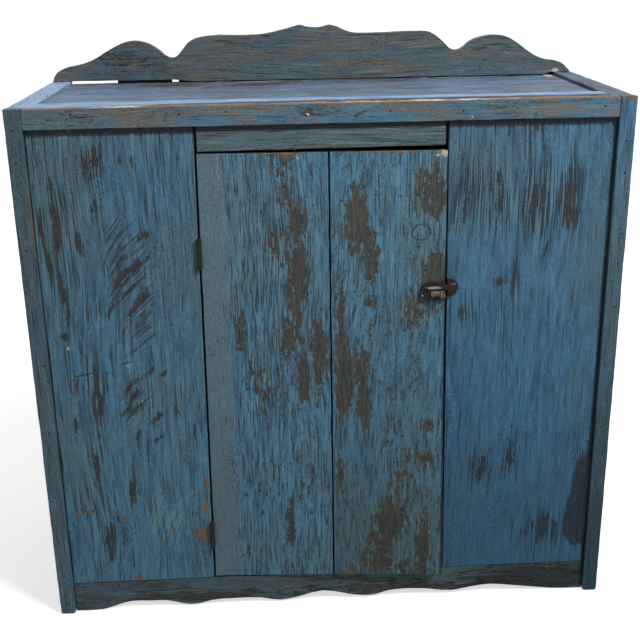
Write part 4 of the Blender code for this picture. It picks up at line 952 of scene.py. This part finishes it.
def rub_arrises(shape, arris, rub, seed):
    """Rounds a board's arrises over and rubs them down unevenly."""
    sharp = [e for e in shape.edges if e.is_manifold and e.calc_face_angle() > ARRIS_TURN]
    rounded = bmesh.ops.bevel(
        shape, geom=sharp, offset=arris, offset_type="OFFSET", segments=2, profile=0.5,
        affect="EDGES", clamp_overlap=True, material=-1)
    shape.normal_update()
    moves = []
    for vertex in rounded["verts"]:
        at = vertex.co * RUB_RATE + Vector((seed * 7.1, seed * 3.3, seed * 1.9))
        small = max(0.0, noise.noise(at * SMALL_RUB_RATE))
        amount = max(0.0, noise.noise(at) + RUB_MORE) + 0.5 * small
        moves.append((vertex, vertex.normal * min(1.0, amount) * rub))
    for vertex, move in moves:
        vertex.co -= move
    bmesh.ops.dissolve_degenerate(shape, dist=SLIVER, edges=shape.edges)
    bmesh.ops.delete(shape, geom=[e for e in shape.edges if e.is_wire], context="EDGES")


def seal(shape):
    """Closes what the rubbing left open and turns the faces outward."""
    split = [e for e in shape.edges if e.is_boundary]
    if split:
        bmesh.ops.holes_fill(shape, edges=split, sides=0)
    if shape.calc_volume(signed=True) < 0:
        bmesh.ops.reverse_faces(shape, faces=shape.faces[:])


def worn_board(node_name, finish, seed):
    """A board with rubbed arrises and sunk nail pits, in place of its plain CAD node."""
    sizes = bpy.context.scene.cupboard_making
    shape = bmesh.new()
    shape.from_mesh(frame["nodes"][node_name].data)
    bmesh.ops.remove_doubles(shape, verts=shape.verts, dist=MERGE)
    bmesh.ops.dissolve_limit(
        shape, angle_limit=FLAT_TURN, verts=shape.verts, edges=shape.edges)
    low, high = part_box(node_name)
    spans = high - low
    along = max(range(3), key=lambda axis: spans[axis])
    count = int(spans[along] / sizes.cut_spacing)
    for step in range(1, count):
        place = low.copy()
        place[along] += spans[along] * step / count
        normal = Vector((0.0, 0.0, 0.0))
        normal[along] = 1.0
        bmesh.ops.bisect_plane(
            shape, geom=shape.verts[:] + shape.edges[:] + shape.faces[:], dist=CUT_TOLERANCE,
            plane_co=place, plane_no=normal)
    rub_arrises(shape, sizes.arris, sizes.rub, seed)
    row = nails_of(node_name)
    if row:
        sink_pits(shape, row)
    seal(shape)
    piece = keep_piece(shape, node_name + "_worn", finish, body_of(node_name))
    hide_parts(node_name)
    return piece


def drive_nails(name, node_name, way, places, finish, seed):
    """A row of hand-cut nail heads, each at the bottom of its pit."""
    sizes = bpy.context.scene.cupboard_making
    wood = bmesh.new()
    wood.from_mesh(frame["nodes"][node_name].data)
    tree = BVHTree.FromBMesh(wood)
    wood.free()
    draw = random.Random(seed)
    shape = bmesh.new()
    for spot in places:
        place, normal = nail_seat(tree, way, spot)
        lean = Matrix.Rotation(draw.uniform(-HEAD_LEAN, HEAD_LEAN), 4, "X")
        spin = Matrix.Rotation(draw.uniform(0.0, math.pi), 4, "Z")
        centre = place - normal * (sizes.nail_depth + sizes.nail_thick * 0.5)
        head = bmesh.ops.create_cone(
            shape, cap_ends=True, segments=HEAD_SIDES, radius1=sizes.nail_head,
            radius2=sizes.nail_head * draw.uniform(*HEAD_TOP), depth=sizes.nail_thick,
            matrix=upright(normal, centre) @ lean @ spin)
        rim = {e for v in head["verts"] for e in v.link_edges}
        bmesh.ops.bevel(
            shape, geom=list(rim), offset=sizes.nail_thick * HEAD_ARRIS, offset_type="OFFSET",
            segments=1, profile=0.5, affect="EDGES", clamp_overlap=True, material=-1)
    return keep_piece(shape, name, finish, body_of(node_name))


def settle_foot(piece, left, right, drop):
    """Lets the foot of a board down onto the wood below it, from left to right."""
    foot = min(vertex.co.z for vertex in piece.data.vertices)
    for vertex in piece.data.vertices:
        if vertex.co.z < foot + FOOT_HEIGHT and vertex.co.x < right:
            share_down = min(1.0, max(0.0, (vertex.co.x - left) / FOOT_EASE))
            vertex.co.z -= drop * share_down


def narrow_joints(piece, low, high, reach):
    """Spreads a board a little at its upright edges, which narrows the joints beside it."""
    for vertex in piece.data.vertices:
        across = vertex.co.x
        from_edge = min(across - low.x, high.x - across)
        if abs(across) < INNER_JOINTS and from_edge < EDGE_DEPTH:
            vertex.co.x += reach if across * 2 > low.x + high.x else -reach


def refinish(node_name, finish):
    """Gives a CAD node a better material in its own slot."""
    frame["nodes"][node_name].material_slots[0].material = finish


def press_spring(finish):
    """The latch spring, a closed piece of its own in place of the CAD node."""
    shape = bmesh.new()
    shape.from_mesh(frame["nodes"]["latch_spring"].data)
    bmesh.ops.remove_doubles(shape, verts=shape.verts, dist=MERGE)
    seal(shape)
    spring = keep_piece(
        shape, "latch_spring_coil", finish, body_of("latch_spring"))
    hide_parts("latch_spring")
    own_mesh(spring)


def face_all(names, seed):
    """Paints and wears each of these boards."""
    for step, node_name in enumerate(names):
        worn_board(node_name, PaintedCoat(node_name, seed + step).dressed(), seed + step)


class CUPBOARD_OT_front_boards(bpy.types.Operator):
    """Makes the fixed boards beside the door and the rail over it"""

    bl_idname = "cupboard.front_boards"
    bl_label = "Front boards"

    def execute(self, context):
        face_all(["left_front_board", "right_front_board", "header_rail"], 1)
        return {"FINISHED"}


class CUPBOARD_OT_door_boards(bpy.types.Operator):
    """Makes the two boards of the door"""

    bl_idname = "cupboard.door_boards"
    bl_label = "Door boards"

    def execute(self, context):
        face_all(["door_left_board", "door_right_board"], 11)
        return {"FINISHED"}


class CUPBOARD_OT_corner_boards(bpy.types.Operator):
    """Makes the corner stiles, the fascia and the scalloped apron"""

    bl_idname = "cupboard.corner_boards"
    bl_label = "Stiles, fascia and apron"

    def execute(self, context):
        face_all(["left_stile", "right_stile", "top_fascia", "front_apron"], 21)
        return {"FINISHED"}


class CUPBOARD_OT_top_boards(bpy.types.Operator):
    """Makes the tray of the top and the gallery behind it"""

    bl_idname = "cupboard.top_boards"
    bl_label = "Top and gallery"

    def execute(self, context):
        face_all(["top_panel", "left_top_strip", "right_top_strip", "front_top_strip"], 31)
        gallery = worn_board("gallery_board", PaintedCoat("gallery_board", 35).dressed(), 35)
        settle_foot(gallery, -0.3, 0.505, context.scene.cupboard_making.foot_drop)
        return {"FINISHED"}


class CUPBOARD_OT_side_boards(bpy.types.Operator):
    """Makes the sides of the case"""

    bl_idname = "cupboard.side_boards"
    bl_label = "Sides"

    def execute(self, context):
        face_all(["left_side", "right_side"], 41)
        return {"FINISHED"}


class CUPBOARD_OT_back_boards(bpy.types.Operator):
    """Makes the weathered upright boards of the back"""

    bl_idname = "cupboard.back_boards"
    bl_label = "Back boards"

    def execute(self, context):
        wood = context.scene.cupboard_wood
        for step in range(1, 6):
            node_name = f"back_board_{step}"
            finish = timber(
                node_name + "_wood", "xz", wood.back_brown, wood.back_grey, 50 + step, 0.6)
            board = worn_board(node_name, finish, 50 + step)
            narrow_joints(board, *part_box(node_name), context.scene.cupboard_making.joint_swell)
        return {"FINISHED"}


CLEAT_PLACES = ("top", "floor", "lower_shelf", "upper_shelf")
INNER_BOARDS = {
    "floor_board": "yx", "lower_shelf": "yx", "upper_shelf": "yx", "top_front_rail": "zx",
    "top_back_rail": "zx", "upper_batten": "zx", "lower_batten": "zx",
    **{f"{place}_{hand}_cleat": "zy" for place in CLEAT_PLACES for hand in ("left", "right")},
}


class CUPBOARD_OT_inner_boards(bpy.types.Operator):
    """Makes the floor, the shelves, their cleats, the rails and the door's battens"""

    bl_idname = "cupboard.inner_boards"
    bl_label = "Inner boards"

    def execute(self, context):
        wood = context.scene.cupboard_wood
        for step, (node_name, grain) in enumerate(INNER_BOARDS.items()):
            finish = timber(node_name + "_wood", grain, wood.inner_dark, wood.inner_pale, 60 + step)
            worn_board(node_name, finish, 60 + step)
        return {"FINISHED"}


class CUPBOARD_OT_nails(bpy.types.Operator):
    """Drives the hand-cut nails into the boards"""

    bl_idname = "cupboard.nails"
    bl_label = "Nails"

    def execute(self, context):
        finish = iron("nail_iron", 3.0)
        for step, (name, (node_name, way, places)) in enumerate(NAIL_ROWS.items()):
            drive_nails(name, node_name, way, places, finish, 80 + step)
        return {"FINISHED"}


class CUPBOARD_OT_ironwork(bpy.types.Operator):
    """Finishes the hinges, the latch and the screws in old iron"""

    bl_idname = "cupboard.ironwork"
    bl_label = "Hinges and latch"

    def execute(self, context):
        finishes = {
            "hinge_iron": iron("hinge_black_iron", 1.0, 0.1),
            # painted highlights along the top edge of the latch case and at its rims, among rubbed
            # places
            "latch_iron": iron("latch_black_iron", 2.0, 0.1, 0.50, [
                (200, 685, 26, 3.8, 0.9), (236.5, 691.5, 7, 3, 0.75),
                (179, 669, 3, 7, 0.55, -30), (243, 678, 2, 8, 0.5, 20)]),
            "screw_iron": iron("screw_black_iron", 4.0, 0.3),
        }
        # the bolt made bright: rubbed iron, and a painted highlight
        rubs_and_highlights = iron("bolt_handled_iron", 5.0, 0.6, 0.60)
        press_spring(finishes["screw_iron"])
        for node_name in frame["nodes"]:
            slot_name = slot_of(node_name)
            if node_name == "latch_bolt":
                refinish(node_name, rubs_and_highlights)
            elif slot_name in finishes:
                refinish(node_name, finishes[slot_name])
        return {"FINISHED"}


# The point that the lamps are turned to, and each lamp: its power's setting, place and width
LAMP_AIM = Vector((0.0, 0.0, 0.6))
LAMPS = (
    ("key_lamp", "key_power", (2.4, -2.4, 4.0), 0.9),
    ("fill_lamp", "fill_power", (-3.2, -2.8, 1.8), 2.4),
    ("top_lamp", "top_power", (-0.4, 0.6, 3.8), 2.0),
)
# The floor's half width, and where round the cupboard it starts and ends fading to white
FLOOR_REACH = 60.0
FADE_START = 0.6
FADE_END = 2.2
WHITE = (1.0, 1.0, 1.0)


def lamp(name, power, place, size):
    """A soft square lamp turned to the middle of the cupboard."""
    light = bpy.data.lights.new(name, "AREA")
    light.energy = power
    light.size = size
    made = bpy.data.objects.new(name, light)
    made.location = place
    made.rotation_euler = (LAMP_AIM - Vector(place)).to_track_quat("-Z", "Y").to_euler()
    bpy.context.scene.collection.objects.link(made)


def lay_floor(studio):
    """The pale floor, which keeps the shadows and fades to white away from the cupboard."""
    shape = bmesh.new()
    bmesh.ops.create_grid(shape, x_segments=1, y_segments=1, size=FLOOR_REACH)
    mesh = bpy.data.meshes.new("studio_floor")
    shape.to_mesh(mesh)
    shape.free()
    floor_object = bpy.data.objects.new("studio_floor", mesh)
    bpy.context.scene.collection.objects.link(floor_object)
    coat = Coat("studio_floor")
    matt = coat.node("ShaderNodeBsdfDiffuse", {"Color": studio.floor})
    away = coat.vector("LENGTH", coat.place)
    lift = coat.ramp(away, FADE_START, FADE_END, studio.floor_glow, 1.0)
    glow = coat.node("ShaderNodeEmission", {
        "Color": WHITE, "Strength": coat.maths("MULTIPLY", coat.seen(), lift)})
    both = coat.node("ShaderNodeAddShader", {0: matt.outputs[0], 1: glow.outputs[0]})
    coat.node("ShaderNodeOutputMaterial", {0: both.outputs[0]})
    mesh.materials.append(coat.material)


def surround(studio):
    """Plain surroundings that light a little and look white."""
    world = bpy.data.worlds.new("studio_surroundings")
    bpy.context.scene.world = world
    world.use_nodes = True
    sky = Nodes(world.node_tree)
    strength = sky.node(
        "ShaderNodeMapRange", {"Value": sky.seen(), "To Min": studio.sky, "To Max": 1.0})
    shell = sky.node("ShaderNodeBackground", {"Color": WHITE, "Strength": strength.outputs[0]})
    sky.node("ShaderNodeOutputWorld", {0: shell.outputs[0]})


class CUPBOARD_OT_studio(bpy.types.Operator):
    """Lays the pale floor, hangs the lamps and sets the camera up"""

    bl_idname = "cupboard.studio"
    bl_label = "Studio"

    def execute(self, context):
        studio = context.scene.cupboard_studio
        lay_floor(studio)
        surround(studio)
        for name, power, place, size in LAMPS:
            lamp(name, getattr(studio, power), place, size)
        yaw, pitch, roll = studio.camera_turn
        ahead = Vector((math.sin(yaw) * math.cos(pitch), math.cos(yaw) * math.cos(pitch),
                        math.sin(pitch)))
        right = Vector((math.cos(yaw), -math.sin(yaw), 0.0))
        above = right.cross(ahead)
        turned_right = right * math.cos(roll) + above * math.sin(roll)
        turned_above = above * math.cos(roll) - right * math.sin(roll)
        camera = bpy.data.objects.new("studio_camera", bpy.data.cameras.new("studio_camera"))
        axes = Matrix((turned_right, turned_above, -ahead)).transposed().to_4x4()
        camera.matrix_world = Matrix.Translation(studio.camera_place) @ axes
        camera.data.sensor_width = 36.0
        camera.data.lens = studio.lens
        camera.data.shift_x, camera.data.shift_y = studio.shift
        context.scene.collection.objects.link(camera)
        context.scene.camera = camera
        context.scene.view_settings.view_transform = "Standard"
        return {"FINISHED"}


SETTINGS = {
    "cupboard_paint": PaintSettings,
    "cupboard_wood": WoodSettings,
    "cupboard_iron": IronSettings,
    "cupboard_making": MakingSettings,
    "cupboard_studio": StudioSettings,
}
STEPS = (
    CUPBOARD_OT_front_boards,
    CUPBOARD_OT_door_boards,
    CUPBOARD_OT_corner_boards,
    CUPBOARD_OT_top_boards,
    CUPBOARD_OT_side_boards,
    CUPBOARD_OT_back_boards,
    CUPBOARD_OT_inner_boards,
    CUPBOARD_OT_nails,
    CUPBOARD_OT_ironwork,
    CUPBOARD_OT_studio,
)


class CUPBOARD_PT_sidebar(bpy.types.Panel):
    """Lists the cupboard's settings and the steps that make it"""

    bl_idname = "CUPBOARD_PT_sidebar"
    bl_label = "Painted board cupboard"
    bl_space_type = "VIEW_3D"
    bl_region_type = "UI"
    bl_category = "Cupboard"

    def draw(self, context):
        for name, group in SETTINGS.items():
            box = self.layout.box()
            settings = getattr(context.scene, name)
            for key in group.__annotations__:
                box.prop(settings, key)
        for step in STEPS:
            self.layout.operator(step.bl_idname)


def register():
    for group in (*SETTINGS.values(), *STEPS, CUPBOARD_PT_sidebar):
        bpy.utils.register_class(group)
    for name, group in SETTINGS.items():
        setattr(bpy.types.Scene, name, bpy.props.PointerProperty(type=group))


def unregister():
    for name in SETTINGS:
        delattr(bpy.types.Scene, name)
    for group in (CUPBOARD_PT_sidebar, *reversed(STEPS), *SETTINGS.values()):
        bpy.utils.unregister_class(group)


def main():
    register()
    for step in STEPS:
        family, name = step.bl_idname.split(".")
        getattr(getattr(bpy.ops, family), name)()


if __name__ == "__main__":
    main()
